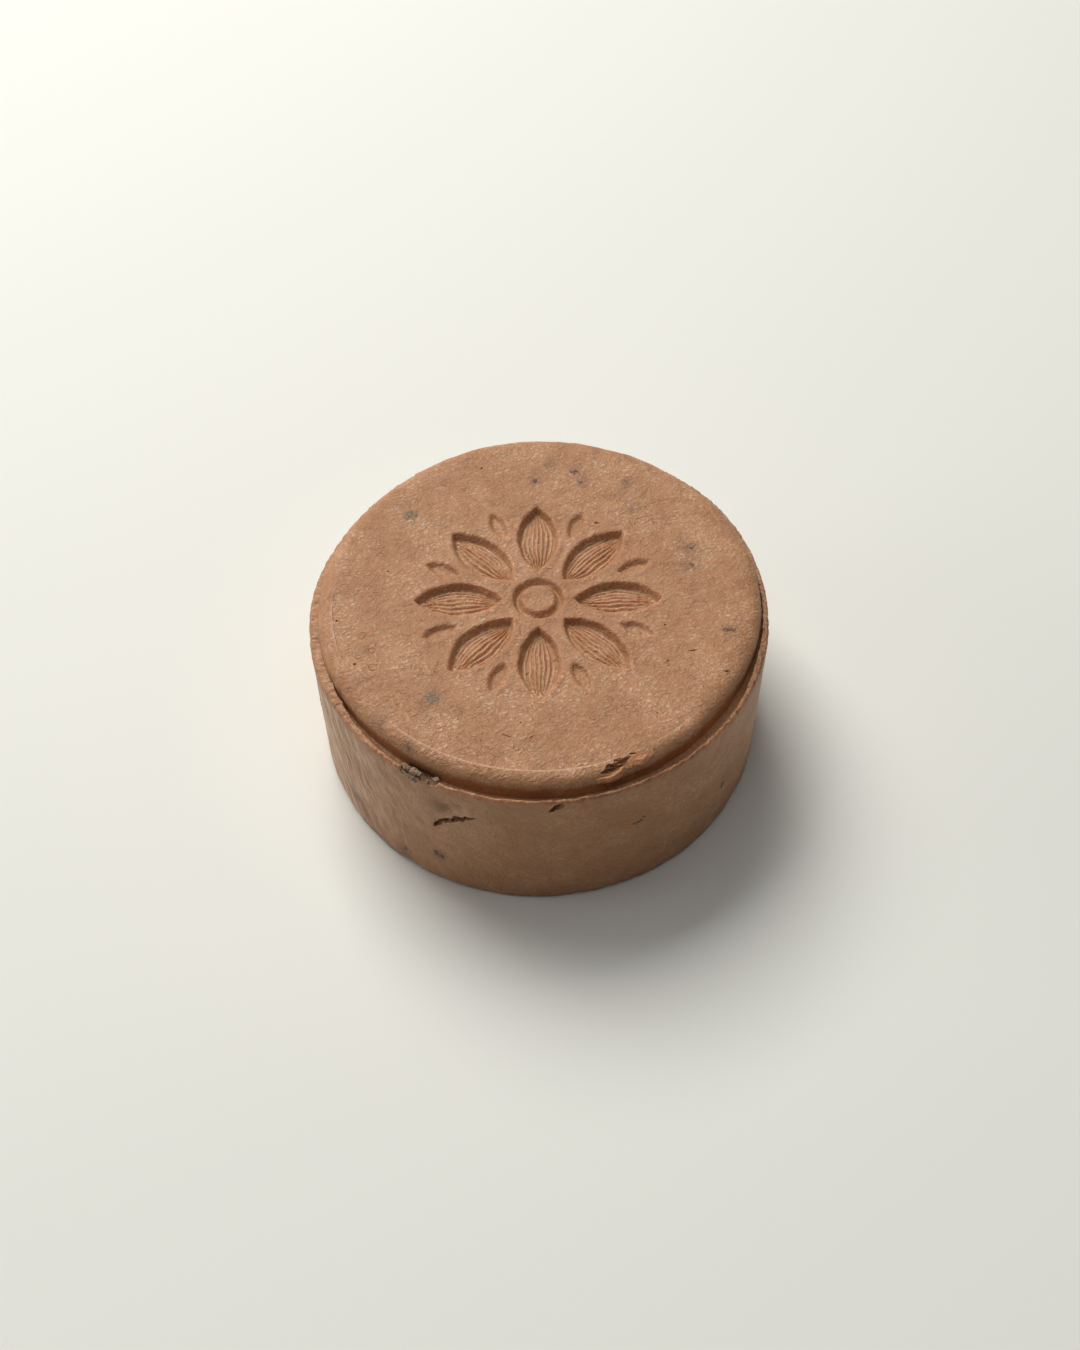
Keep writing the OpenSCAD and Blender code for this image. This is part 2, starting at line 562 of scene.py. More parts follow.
@dataclass(frozen=True)
class Rosette:
    """Traditional rosette that the die presses into the face: petals, small leaves and a button."""

    petals: int = 8
    petal_start: float = 5.6
    petal_l: float = 13.0
    petal_w: float = 6.0
    petal_depth: float = 1.2
    pillow: float = 0.42
    strand_pitch: float = 0.72
    strand_h: float = 0.2
    leaf_l: float = 5.4
    leaf_w: float = 2.2
    leaf_depth: float = 0.65
    button_r: float = 2.6
    ring_w: float = 1.2
    ring_depth: float = 0.85
    edge_w: float = 0.5
    lip_h: float = 0.09
    # How far the outlines wander, and how far the face is uneven past the petals
    wander: float = 0.16
    margin: float = 3.0

    @property
    def reach(self) -> float:
        """Radius past which the face is plain."""
        return self.petal_start + self.petal_l + self.margin

    @staticmethod
    def oval_inset(along: float, across: float, length: float, width: float) -> float:
        """How far a point lies inside a pointed oval, negative outside it.

        Args:
            along: Distance from the oval's first tip along its axis.
            across: Distance from the axis.
            length: Length of the oval.
            width: Width of the oval at its middle.

        Returns:
            Distance in from the outline.
        """
        arc_r = (length * length + width * width) / (4 * width)
        return arc_r - math.hypot(along - length / 2, abs(across) + arc_r - width / 2)

    def pressed(self, inset: float, depth: float) -> float:
        """Height of a pressed edge: a swollen lip outside, then a rounded wall down to the depth."""
        lip = self.lip_h * bell(inset + 0.55, 0.5)
        return lip - depth * smooth_step(-0.25, self.edge_w, inset)

    def height(self, place: Vector) -> float:
        """Height of the pressed face above its plain level.

        Args:
            place: Point on the face.

        Returns:
            The height, mostly negative.
        """
        radius = math.hypot(place.x, place.y)
        if radius > self.reach:
            return 0.0
        pitch = 2 * math.pi / self.petals
        jitter = self.wander * ripple(place, 2.5, 2.2)
        inset = self.petal_place(place)[2] + jitter
        level = self.pressed(inset, self.petal_depth) + self.pillow * smooth_step(0.7, 2.6, inset)
        level += self.strand_h * self.strand(place)

        leaf = math.atan2(place.y, place.x) % pitch - pitch / 2
        along = radius * math.cos(leaf) - (self.petal_start + self.petal_l - self.leaf_l)
        inset = self.oval_inset(along, radius * math.sin(leaf), self.leaf_l, self.leaf_w) + jitter * 0.7
        level += self.pressed(inset, self.leaf_depth)

        inset = self.ring_w / 2 - abs(radius - self.button_r - self.ring_w / 2) + jitter * 0.5
        return level + self.pressed(inset, self.ring_depth)

    def petal_place(self, place: Vector) -> tuple[float, float, float]:
        """Where a point lies on the nearest petal.

        Args:
            place: Point on the face.

        Returns:
            Distance along the petal from its inner tip, across from its axis, and in from its outline.
        """
        pitch = 2 * math.pi / self.petals
        radius = math.hypot(place.x, place.y)
        turn = (math.atan2(place.y, place.x) + pitch / 2) % pitch - pitch / 2
        along = radius * math.cos(turn) - self.petal_start
        across = radius * math.sin(turn)
        return along, across, self.oval_inset(along, across, self.petal_l, self.petal_w)

    def strand(self, place: Vector) -> float:
        """Wave of the fine strands that run along a petal and draw together at its tips.

        Args:
            place: Point on the face.

        Returns:
            From -1 between two strands to 1 on the crest of one, and 0 off the petals.
        """
        along, across, inset = self.petal_place(place)
        if inset <= 0.35:
            return 0.0
        share = 2 * along / self.petal_l - 1
        half_width = max(0.3, self.petal_w / 2 * (1 - share * share))
        waver = 0.35 * ripple(place, 3.0, 6.6)
        count = self.petal_w / 2 / self.strand_pitch
        wave = math.cos(2 * math.pi * (count * across / half_width + waver))
        strength = 0.35 + 0.65 * (0.5 + 0.5 * ripple(place, 1.6, 9.1))
        return strength * wave * smooth_step(0.35, 0.8, inset)


@dataclass(frozen=True)
class Scar:
    """Crack, nick or pit that follows a path of radius, direction and height on the puck's surface."""

    path: tuple[tuple[float, float, float], ...]
    width: float
    depth: float
    detail: int = 4
    # How dark the inside of the cut is painted, as painted shade in the scar
    dirt_and_shade: float = 0.6
    rough: float = 0.6
    pointed: bool = True

    def at(self, share: float) -> Vector:
        """Point on the path, at a share of the way along its corners.

        Args:
            share: Way along, from 0 to 1.

        Returns:
            The point.
        """
        last = len(self.path) - 1
        leg = min(int(share * last), last - 1)
        here, there = polar(*self.path[leg]), polar(*self.path[leg + 1])
        return here.lerp(there, share * last - leg)

    def tool(self, puck: Puck) -> bpy.types.Object:
        """Makes the ragged spindle that cuts the scar.

        Args:
            puck: Puck whose surface the path lies on.

        Returns:
            A closed mesh, painted with the shade that the cut leaves in the scar.
        """
        piece = heap("scar", [(Vector(), Euler(), Vector((1, 1, 1)) / MM)], self.detail)
        for vertex in piece.data.vertices:
            along, across, out = vertex.co
            share = (along + 1) / 2
            place = self.at(share)
            run = (self.at(min(share + 0.02, 1)) - self.at(max(share - 0.02, 0))).normalized()
            normal = puck.outward(place)
            side = normal.cross(run).normalized()
            ragged = 1 + self.rough * ripple(place + normal * out, 0.9, across)
            if self.pointed:
                ragged *= math.sqrt(max(0.0, 1 - along * along))
            spread = side * across * self.width / 2 * ragged + normal * out * self.depth * ragged
            vertex.co = (place + spread) * MM
        # The cut faces keep this paint: painted shade inside the scar
        paint(piece, Mark.STAIN_AND_SHADE, lambda place: self.dirt_and_shade)
        return piece


# The crack in the shoulder, the gap and the split round the chip at its right end, and what lies near it
SHOULDER_SCARS = (
    Scar(((32.6, -75.8, 28.8), (32.35, -72.2, 28.95), (31.9, -69.3, 29.2), (31.1, -65.6, 29.25)),
         width=1.6, depth=1.05, detail=5, dirt_and_shade=0.4),
    Scar(((30.9, -66.6, 29.2), (31.1, -65.4, 29.25), (31.4, -64.2, 29.25)), width=0.4, depth=0.5),
    Scar(((32.5, -67.4, 28.9), (32.75, -65.8, 28.7), (32.95, -64.0, 28.5)), width=0.4, depth=0.6),
    Scar(((33.4, -84.8, 26.6), (33.3, -83.6, 27.4)), width=0.2, depth=0.35),
    Scar(((31.7, -60.6, 29.2), (32.1, -58.6, 29.1)), width=0.45, depth=0.45),
)
# The crack in the wall, which runs up to the right and thins out
WALL_CRACK = Scar(
    ((34.7, -118.6, 13.9), (34.45, -115.0, 16.8), (34.6, -111.6, 18.9), (34.7, -107.8, 20.4),
     (34.8, -103.6, 21.6)),
    width=1.2, depth=0.65, detail=5, dirt_and_shade=0.35)
# The nick in the rim, which cuts the flash and the wall
RIM_NICK = Scar(((34.5, -84.2, 26.7), (34.7, -86.0, 25.8), (34.8, -88.6, 24.4)), width=1.3, depth=0.8)
# Short creases in the face: radius and direction of both ends, and width
CREASES = (
    (27.9, -13.6, 29.8, -12.8, 0.6), (24.2, -25.3, 25.5, -23.6, 0.36), (30.4, -28.0, 31.3, -26.9, 0.36),
    (25.2, -103.1, 25.6, -98.1, 0.264), (25.6, -93.9, 24.9, -91.8, 0.3), (17.9, 56.6, 17.5, 59.6, 0.48),
    (22.3, -33.4, 22.5, -32.2, 0.42),
)
# Pinholes in the face: radius, direction and width
PINHOLES = (
    (23.7, 166, 0.35), (30.5, -173, 0.4), (16.4, -157, 0.35), (29.6, -156, 0.45), (19.6, -16, 0.35),
    (27.2, -52, 0.3), (28.6, 108, 0.35), (22.9, -97, 0.3), (25.1, 47, 0.3),
)
# Rings left by burst bubbles in the face: radius, direction and width
BUBBLES = ((27.1, -165.8, 1.1), (26.4, -159.0, 1.0), (27.4, -152.6, 1.2), (28.6, -158.0, 0.8))
# Small pale scabs on the face and the shoulder: radius, direction, height, reach and strength
SCABS = tuple(Spot.on_puck(*scab) for scab in (
    (31.8, -158.6, 29.2, 0.4, 0.7), (32.4, -155.8, 29.0, 0.4, 0.7), (25.0, 2.3, 29.1, 0.45, 0.6),
    (28.2, -4.8, 29.1, 0.35, 0.6), (24.2, -6.8, 29.1, 0.4, 0.6), (27.6, 123.7, 29.1, 0.4, 0.6),
    (29.5, -20.0, 29.1, 0.3, 0.6), (35, -112.2, 19.8, 0.8, 0.5), (35, -110.2, 20.7, 0.9, 0.9),
    (35, -108.6, 21.4, 0.8, 0.8), (35, -114.0, 15.6, 0.7, 0.4)))
# Smudges in the face, the shoulder and the wall: radius, direction, height, reach and strength
SMUDGES = tuple(Spot.on_puck(*smudge) for smudge in (
    (25.6, 22, 29.1, 1.5, 0.55), (24.6, 15, 29.1, 1.7, 0.6), (32.6, -125, 28.9, 1.1, 0.9),
    (28.9, -13, 29.1, 1.0, 0.4), (24.6, 91, 29.1, 1.1, 0.45), (27.5, 86, 29.1, 0.9, 0.4),
    (26.7, 77, 29.1, 0.8, 0.7), (24.9, 73, 29.1, 0.9, 0.6), (27.4, 59, 29.1, 0.8, 0.5),
    (23.5, 50, 29.1, 1.3, 0.4), (24.0, -130, 29.1, 1.6, 0.5), (35, -145, 6.6, 2.4, 0.8),
    (35, -127, 2.6, 1.3, 0.7), (35, -115.0, 21.6, 1.6, 0.5), (35, -110.6, 22.6, 1.0, 0.5),
    (35, -116, 7.1, 1.2, 0.7), (33.4, -151, 27.6, 0.8, 0.9),
    (32.2, -149, 29.1, 0.6, 0.8), (31.9, -136, 29.2, 1.3, 0.6), (30.4, -150, 29.1, 1.2, 0.3)))


class Piece(ABC):
    """One visual piece, which stands for a CAD node, is listed with a record slot, and wears the finish it is
    given.
    """

    node: ClassVar[Node]
    slot: ClassVar[Slot]

    @abstractmethod
    def build(self) -> bpy.types.Object:
        """Models the piece where it belongs.

        Returns:
            The finished mesh object, at the origin.
        """

    def dress(self, model: bpy.types.Object, finish: bpy.types.Material) -> None:
        """Smooths a model, puts its finish on it and sets it in its CAD node's place.

        Args:
            model: Mesh object that build gave.
            finish: Material to put on it.
        """
        bpy.ops.object.select_all(action="DESELECT")
        bpy.context.view_layer.objects.active = model
        model.select_set(True)
        bpy.ops.object.shade_smooth_by_angle(angle=math.radians(40))
        model.data.materials.clear()
        model.data.materials.append(finish)
        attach(model, "root")
        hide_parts(self.node.value)


@dataclass
class SoapBlock(Piece):
    """Pressed block of soap: base, wall, ledge, shoulder and stamped face."""

    puck: Puck
    rosette: Rosette
    steps: int = 520
    fine_pitch: float = 0.22
    plain_pitch: float = 0.5
    wall_pitch: float = 0.85
    fold_run: float = 2.5
    fold_slant: float = 22.0
    bubble_rim: float = 0.09
    crease_depth: float = 0.26
    # Heights of the lumps and folds of the face, and how far it is sunk to leave room for them
    big_lump: float = 0.07
    small_lump: float = 0.05
    sunk: float = 0.08
    fold_h: float = 0.05
    comb_h: float = 0.06
    fold_crease: float = 0.12
    # How clearly painted glints on the folds and painted shade in the wrinkles show, from 0 to 1
    wall_folds: float = 0.3
    face_folds: float = 0.7
    # Where the step round the face is still sharp
    front_crease: Sector = Sector(start=-138, full_from=-126, full_to=-78, end=-66)
    right_crease: Arc = Arc(direction=-54, reach=9, strength=0.7)
    left_crease: Arc = Arc(direction=-171, reach=11)
    # How far the shoulder has slumped at the front right and the front left
    right_slump: Arc = Arc(direction=-32, reach=36, strength=0.7)
    left_slump: Arc = Arc(direction=-125, reach=30, strength=0.4)
    # Where the face is hilliest, and where it is combed into fine folds
    hills: Arc = Arc(direction=55, reach=60)
    comb: Arc = Arc(direction=-112, reach=45)
    node = Node.SOAP_BLOCK
    slot = Slot.SOAP

    def section(self) -> list[tuple[float, float]]:
        """Radius and height of each ring, from the middle of the face to the middle of the base.

        Returns:
            The rings in order.
        """
        puck = self.puck
        centre_r, centre_z = puck.shoulder_centre
        fine_end = self.rosette.petal_start + self.rosette.petal_l + 1.0
        radii = stretch(0, 2, 2 * self.fine_pitch) + stretch(2, fine_end, self.fine_pitch)
        radii += stretch(fine_end, puck.face_r - 0.5, self.plain_pitch)
        rings = [(r, puck.face_z) for r in radii]
        rings += [(puck.face_r - 0.3, puck.face_z), (puck.face_r - 0.06, puck.face_z + 0.01)]
        rings += [(puck.face_r + 0.02, puck.band_z - 0.03), (puck.face_r + 0.1, puck.band_z)]
        for turn in range(0, 91, 6):
            slope = math.radians(turn)
            out = puck.shoulder_r * math.sin(slope)
            rings.append((centre_r + out, centre_z + puck.shoulder_r * math.cos(slope)))
        rings += [(puck.head_r, z) for z in stretch(centre_z - 0.5, puck.ledge_z + 0.2, 0.5)]
        rings += [(puck.head_r + 0.03, puck.ledge_z + 0.08), (puck.head_r + 0.12, puck.ledge_z)]
        rings += [(r, puck.ledge_z) for r in stretch(puck.head_r + 0.4, puck.radius, 0.25)]
        rings += [(puck.radius, z) for z in stretch(puck.ledge_z, puck.base_round, self.wall_pitch)]
        for turn in (0, 30, 60, 90):
            slope = math.radians(turn)
            out = puck.radius - puck.base_round * (1 - math.cos(slope))
            rings.append((out, puck.base_round * (1 - math.sin(slope))))
        return rings + [(puck.radius * 0.6, 0), (0, 0)]

    def crease(self, direction: float) -> float:
        """How sharp the step round the face is: 1 at the front and the left, 0 where it is worn away."""
        sharp = self.front_crease, self.right_crease, self.left_crease
        return max(part.weight(direction) for part in sharp)

    def shift(self, place: Vector) -> Vector:
        """Moves a point of the turned block to where pressing, drag and wear left it.

        Args:
            place: Point on the turned block.

        Returns:
            How far it moves.
        """
        puck = self.puck
        radius = math.hypot(place.x, place.y)
        direction = direction_of(place)
        if place.z < 0.01 and radius < puck.radius - puck.base_round - 0.1:
            return Vector()
        if place.z <= puck.ledge_z + 0.01:
            return puck.wall_shift(place) * smooth_step(puck.head_r, puck.radius, radius) + self.stub(place)
        out = Vector((place.x, place.y, 0)).normalized()
        move = out * puck.swell(direction) * smooth_step(puck.swell_start, puck.head_r, radius)
        slump = self.right_slump.weight(direction) * smooth_step(puck.face_r - 1.4, puck.head_r, radius)
        slump += self.left_slump.weight(direction) * smooth_step(puck.face_r, puck.head_r, radius)
        hilly = 1 + self.hills.weight(direction)
        lumps = self.big_lump * ripple(place, 6, 4.4) + self.small_lump * ripple(place, 2.4, 7.7)
        lumps = hilly * lumps - self.sunk - slump
        if radius < puck.face_r + 0.1:
            worn = (1 - self.crease(direction)) * (puck.band_z - place.z)
            lumps += worn * smooth_step(puck.face_r - 7, puck.face_r - 0.3, radius)
            move.z = lumps + self.folds(place) + self.rosette.height(place)
        else:
            move += puck.outward(place) * (lumps + 0.06 * ripple(place, 4, 2.9) - 0.03)
        move.z = min(move.z, puck.top_z - place.z)
        return move

    def stub(self, place: Vector) -> Vector:
        """Rise of the ragged stub that is left of the flash along the wall inside the break.

        Args:
            place: Point on the turned block.

        Returns:
            How far it rises, straight up.
        """
        puck = self.puck
        edge = smooth_step(puck.radius - 0.5, puck.radius - 0.1, math.hypot(place.x, place.y))
        share = 0.65 * puck.in_break(direction_of(place)) * (1 + 0.3 * ripple(place, 0.9, 5.5))
        top = smooth_step(puck.ledge_z - 0.5, puck.ledge_z, place.z)
        return Vector((0, 0, share * (puck.rim_z - puck.ledge_z) * edge * top))

    def kneaded(self, place: Vector) -> Vector:
        """Where a point of the face lies in the slanted, drawn-out grain of the kneaded soap.

        Args:
            place: Point on the face.

        Returns:
            The point, turned to the grain and shortened along it.
        """
        slant = math.radians(self.fold_slant)
        along = place.x * math.cos(slant) + place.y * math.sin(slant)
        across = place.y * math.cos(slant) - place.x * math.sin(slant)
        return Vector((along / self.fold_run, across, 0))

    def folds(self, place: Vector) -> float:
        """Height of the faint slanted folds and creases of the kneaded soap, worn out over the stamp.

        Args:
            place: Point on the face.

        Returns:
            The height above the plain face.
        """
        drawn = self.kneaded(place)
        plain = smooth_step(self.rosette.reach - 4, self.rosette.reach, math.hypot(place.x, place.y))
        crease = bell(ripple(drawn, 3.0, 6.3), 0.09) * max(0.0, ripple(place, 7, 2.7))
        height = (self.fold_h + self.comb_h * self.combed(place)) * ripple(drawn, 1.1, 9.9, 4)
        return plain * (height - self.fold_crease * crease)

    def combed(self, place: Vector) -> float:
        """How strongly the face is combed into fine folds: most of all at its front left.

        Args:
            place: Point on the face.

        Returns:
            From 0 for plain to 1 for combed.
        """
        patch = smooth_step(-0.2, 0.3, ripple(place, 8, 1.9))
        border = smooth_step(17, 23, math.hypot(place.x, place.y))
        return patch * border * self.comb.weight(direction_of(place))

    def glints_and_wrinkles(self, place: Vector) -> float:
        """How clearly painted fold glints and painted wrinkle shade show: least on the wall, most where the
        face is combed.

        Args:
            place: Point on the turned block.

        Returns:
            From 0 for not at all to 1 for clearly.
        """
        if place.z < self.puck.face_z - 0.01:
            return self.wall_folds
        return self.face_folds + (1 - self.face_folds) * self.combed(place)

    def stain_and_shade(self, place: Vector) -> float:
        """How dirty and bruised a point is from the smudges, and the painted shade on the ledge the break
        bares.

        Args:
            place: Point on the turned block.

        Returns:
            From 0 for clean to 1 for dirtiest and for darkest painted shade.
        """
        puck = self.puck
        marked = max(smudge.weight(place) for smudge in SMUDGES)
        # Painted shade on the ledge that the break bares
        on_ledge = smooth_step(0.7, 0.2, abs(place.z - puck.ledge_z - 0.4))
        return max(marked, 0.9 * on_ledge * puck.in_break(direction_of(place)))

    def torn(self, place: Vector) -> float:
        """How pale and torn a point is, from the scabs that lie near it."""
        return max(scab.weight(place) for scab in SCABS)

    def gloss_and_highlight(self, place: Vector) -> float:
        """How shiny a point is, along the face's edge and the strands' crests, where a highlight is also
        painted.

        Args:
            place: Point on the turned block.

        Returns:
            From 0 for dull to 1 for shiny.
        """
        puck = self.puck
        if place.z < puck.face_z - 0.01:
            return 0.0
        away = math.hypot(place.x, place.y) - puck.face_r - 0.05
        edge = self.crease(direction_of(place)) * bell(away, 0.07)
        return max(edge, 0.8 * smooth_step(0.3, 0.7, self.rosette.strand(place)))

    def bubble_tool(self, radius: float, direction: float, width: float) -> bpy.types.Object:
        """Makes the thin ring that cuts the mark of a burst bubble.

        Args:
            radius: Radius at which the bubble lies.
            direction: Direction in which it lies.
            width: Width of the mark.

        Returns:
            A closed mesh, level with the face.
        """
        flat = polar(radius, direction, self.puck.face_z)
        middle = (flat + self.shift(flat)) * MM
        bpy.ops.object.select_all(action="DESELECT")
        bpy.ops.mesh.primitive_torus_add(
            location=middle, major_radius=width / 2 * MM, minor_radius=self.bubble_rim * MM,
            major_segments=20, minor_segments=6)
        return named("bubble")

    def scars(self) -> list[Scar]:
        """All cracks, nicks, creases and pinholes that are cut into the block.

        Returns:
            The scars.
        """
        face_z = self.puck.face_z
        found = [*SHOULDER_SCARS, WALL_CRACK, RIM_NICK]
        for start_r, start, end_r, end, width in CREASES:
            ends = (start_r, start, face_z), (end_r, end, face_z)
            found.append(Scar(ends, width, self.crease_depth, detail=3, dirt_and_shade=0.3))
        for radius, direction, width in PINHOLES:
            half = math.degrees(width / 2 / radius)
            ends = (radius, direction - half, face_z), (radius, direction + half, face_z)
            found.append(Scar(ends, width, width, detail=2, dirt_and_shade=0.4, pointed=False))
        return found

    def build(self) -> bpy.types.Object:
        """Turns, marks, sculpts and cuts the block.

        Returns:
            The block's mesh object.
        """
        block = turned("soap_block_visual", self.section(), self.steps)
        paint(block, Mark.STAIN_AND_SHADE, self.stain_and_shade)
        paint(block, Mark.TORN_AND_GLINT, self.torn)
        paint(block, Mark.GLOSS_AND_HIGHLIGHT, self.gloss_and_highlight)
        paint(block, Mark.GLINTS_AND_WRINKLES, self.glints_and_wrinkles)
        paint(block, Mark.DRAG_AND_SHEEN, self.puck.drag_and_sheen)
        sculpt(block, self.shift)
        tools = [scar.tool(self.puck) for scar in self.scars()]
        tools += [self.bubble_tool(*bubble) for bubble in BUBBLES]
        carve(block, joined(tools))
        return block


@dataclass
class RimFlash(Piece):
    """Thin fin of soap squeezed up round the shoulder, ragged and broken at one place."""

    puck: Puck
    edge_round: float = 0.5
    thin_top: float = 0.4
    steps: int = 2000
    ragged: float = 0.3
    torn_span: float = 1.0
    # Where the fin's top is thin, and where it is dull: there it gets painted shade and fewer pale specks
    thin: Sector = Sector(start=-165, full_from=-125, full_to=-40, end=-12)
    dull: Sector = Sector(start=-108, full_from=-78, full_to=-14, end=12)
    node = Node.RIM_FLASH
    slot = Slot.FLASH

    def section(self) -> list[tuple[float, float]]:
        """Radius and height of each corner of the fin, up its outer side, over its top and down inside.

        Returns:
            The corners in order.
        """
        puck = self.puck
        inner = puck.radius - puck.flash_w
        low, high = puck.ledge_z, puck.rim_z
        rings = [(puck.radius, z) for z in stretch(low, high - self.edge_round, 0.3)]
        for turn in range(0, 91, 15):
            slope = math.radians(turn)
            rings.append((puck.radius - self.edge_round * (1 - math.cos(slope)),
                          high - self.edge_round * (1 - math.sin(slope))))
        rings += [(r, high) for r in stretch(puck.radius - self.edge_round - 0.1, inner, 0.12)]
        return rings + [(inner, z) for z in stretch(high - 0.05, low, 0.3)] + [(inner, low)]

    def top_width(self, direction: float) -> float:
        """Width of the fin's crumbly top: thin along the front, elsewhere as broad as its root."""
        root = self.puck.flash_width(direction)
        return root + (min(self.thin_top, root) - root) * self.thin.weight(direction)

    def shift(self, place: Vector) -> Vector:
        """Fits the fin between the wall and the groove, and crumbles its top edge and its torn ends.

        Args:
            place: Point on the turned fin.

        Returns:
            How far it moves.
        """
        puck = self.puck
        direction = direction_of(place)
        out = Vector((place.x, place.y, 0)).normalized()
        up = (place.z - puck.ledge_z) / (puck.rim_z - puck.ledge_z)
        inside = (puck.radius - math.hypot(place.x, place.y)) / puck.flash_w
        root = puck.flash_width(direction)
        width = root + (self.top_width(direction) - root) * up
        move = puck.wall_shift(place) + out * inside * (puck.flash_w - width)
        away = abs(apart(direction, puck.break_direction)) - puck.break_span / 2
        torn = smooth_step(self.torn_span, 0.0, away)
        top = smooth_step(0.4, 1.0, up)
        crumble = self.ragged * (0.25 + 0.6 * ripple(place, 1.0, 4.0, 4)) * top
        drop = max(0.0, crumble) + torn * up * (0.6 + 0.3 * ripple(place, 0.8, 1.1))
        return move + shake(place, 0.45, 6.1) * 0.11 * top - out * 0.08 * top - Vector((0, 0, drop))

    def torn(self, place: Vector) -> float:
        """How pale and torn a point is: specks over the fin's top, partly torn soap and partly painted
        glints, few where dull.

        Args:
            place: Point on the turned fin.

        Returns:
            From 0 for whole to 1 for torn.
        """
        top = smooth_step(self.puck.rim_z - 0.45, self.puck.rim_z, place.z)
        specks = 0.06 + 0.6 * smooth_step(0.0, 0.5, ripple(place, 0.5, 2.2))
        return specks * top * (1 - 0.9 * self.dull.weight(direction_of(place)))

    def stain_and_shade(self, place: Vector) -> float:
        """How much darker a point of the fin's top is painted: a little all round, and painted shade in
        streaks where dull.

        Args:
            place: Point on the turned fin.

        Returns:
            From 0 for unchanged to 1 for darkest.
        """
        top = smooth_step(self.puck.rim_z - 0.7, self.puck.rim_z - 0.2, place.z)
        drawn = Vector((place.x / 4, place.y / 4, place.z + math.hypot(place.x, place.y)))
        streak = 0.3 + 0.5 * smooth_step(-0.1, 0.4, ripple(drawn, 0.4, 3.3))
        # Painted shade in streaks where the fin's top is dull
        return top * (0.15 + (streak - 0.15) * self.dull.weight(direction_of(place)))

    def build(self) -> bpy.types.Object:
        """Turns the fin's section round, open at the break, then roughens and nicks it.

        Returns:
            The fin's mesh object.
        """
        puck = self.puck
        start = puck.break_direction + puck.break_span / 2
        span = 360 - puck.break_span
        piece = turned("rim_flash_visual", self.section(), self.steps, start, span, loop=True)
        paint(piece, Mark.TORN_AND_GLINT, self.torn)
        paint(piece, Mark.STAIN_AND_SHADE, self.stain_and_shade)
        paint(piece, Mark.DRAG_AND_SHEEN, puck.drag_and_sheen)
        sculpt(piece, self.shift)
        carve(piece, RIM_NICK.tool(puck))
        return piece


@dataclass
class RimCrumbs(Piece):
    """Crumbled piece of the flash that lies in the left half of the break, and a crumb at its right end."""

    puck: Puck
    # Number of lumps in a row, and where the row starts and how far it runs as shares of the break
    row: int = 8
    row_start: float = -0.52
    row_run: float = 0.46
    size: float = 0.42
    seed: int = 5
    node = Node.RIM_CRUMBS
    slot = Slot.CRUMB

    def lumps(self) -> list[tuple[float, float, float, float]]:
        """Way along the break from its middle, radius, height and size of each lump.

        Returns:
            The lumps.
        """
        puck = self.puck
        found = []
        for i in range(self.row):
            way = self.row_start + self.row_run * i / (self.row - 1)
            found.append((way, puck.head_r + 0.7, puck.rim_z - 0.55, self.size))
            found.append((way, puck.radius - 0.45, puck.rim_z - 1.1, self.size))
        found.append((0.44, puck.head_r + 0.4, puck.rim_z - 0.6, self.size))
        found.append((0.3, puck.radius - 0.4, puck.rim_z - 0.8, self.size / 2))
        return found

    def build(self) -> bpy.types.Object:
        """Heaps rough lumps into the broken piece.

        Returns:
            The crumbs' mesh object.
        """
        chance = random.Random(self.seed)
        puck = self.puck
        balls = []
        for way, radius, height, size in self.lumps():
            middle = polar(radius, puck.break_direction + way * puck.break_span, height)
            jitter = Vector([chance.uniform(-0.12, 0.12) for _ in range(3)])
            along = math.radians(puck.break_direction + 90 + chance.uniform(-20, 20))
            turn = Euler((chance.uniform(-0.6, 0.6), chance.uniform(-0.3, 0.3), along))
            half = Vector((1.5, 0.9, 0.8)) * size * chance.uniform(0.8, 1.2)
            balls.append((middle + jitter, turn, half))
        piece = heap("rim_crumbs_visual", balls, 4)
        sculpt(piece, lambda place: shake(place, 0.7) * 0.28 + shake(place, 0.3, 3) * 0.12)
        return piece


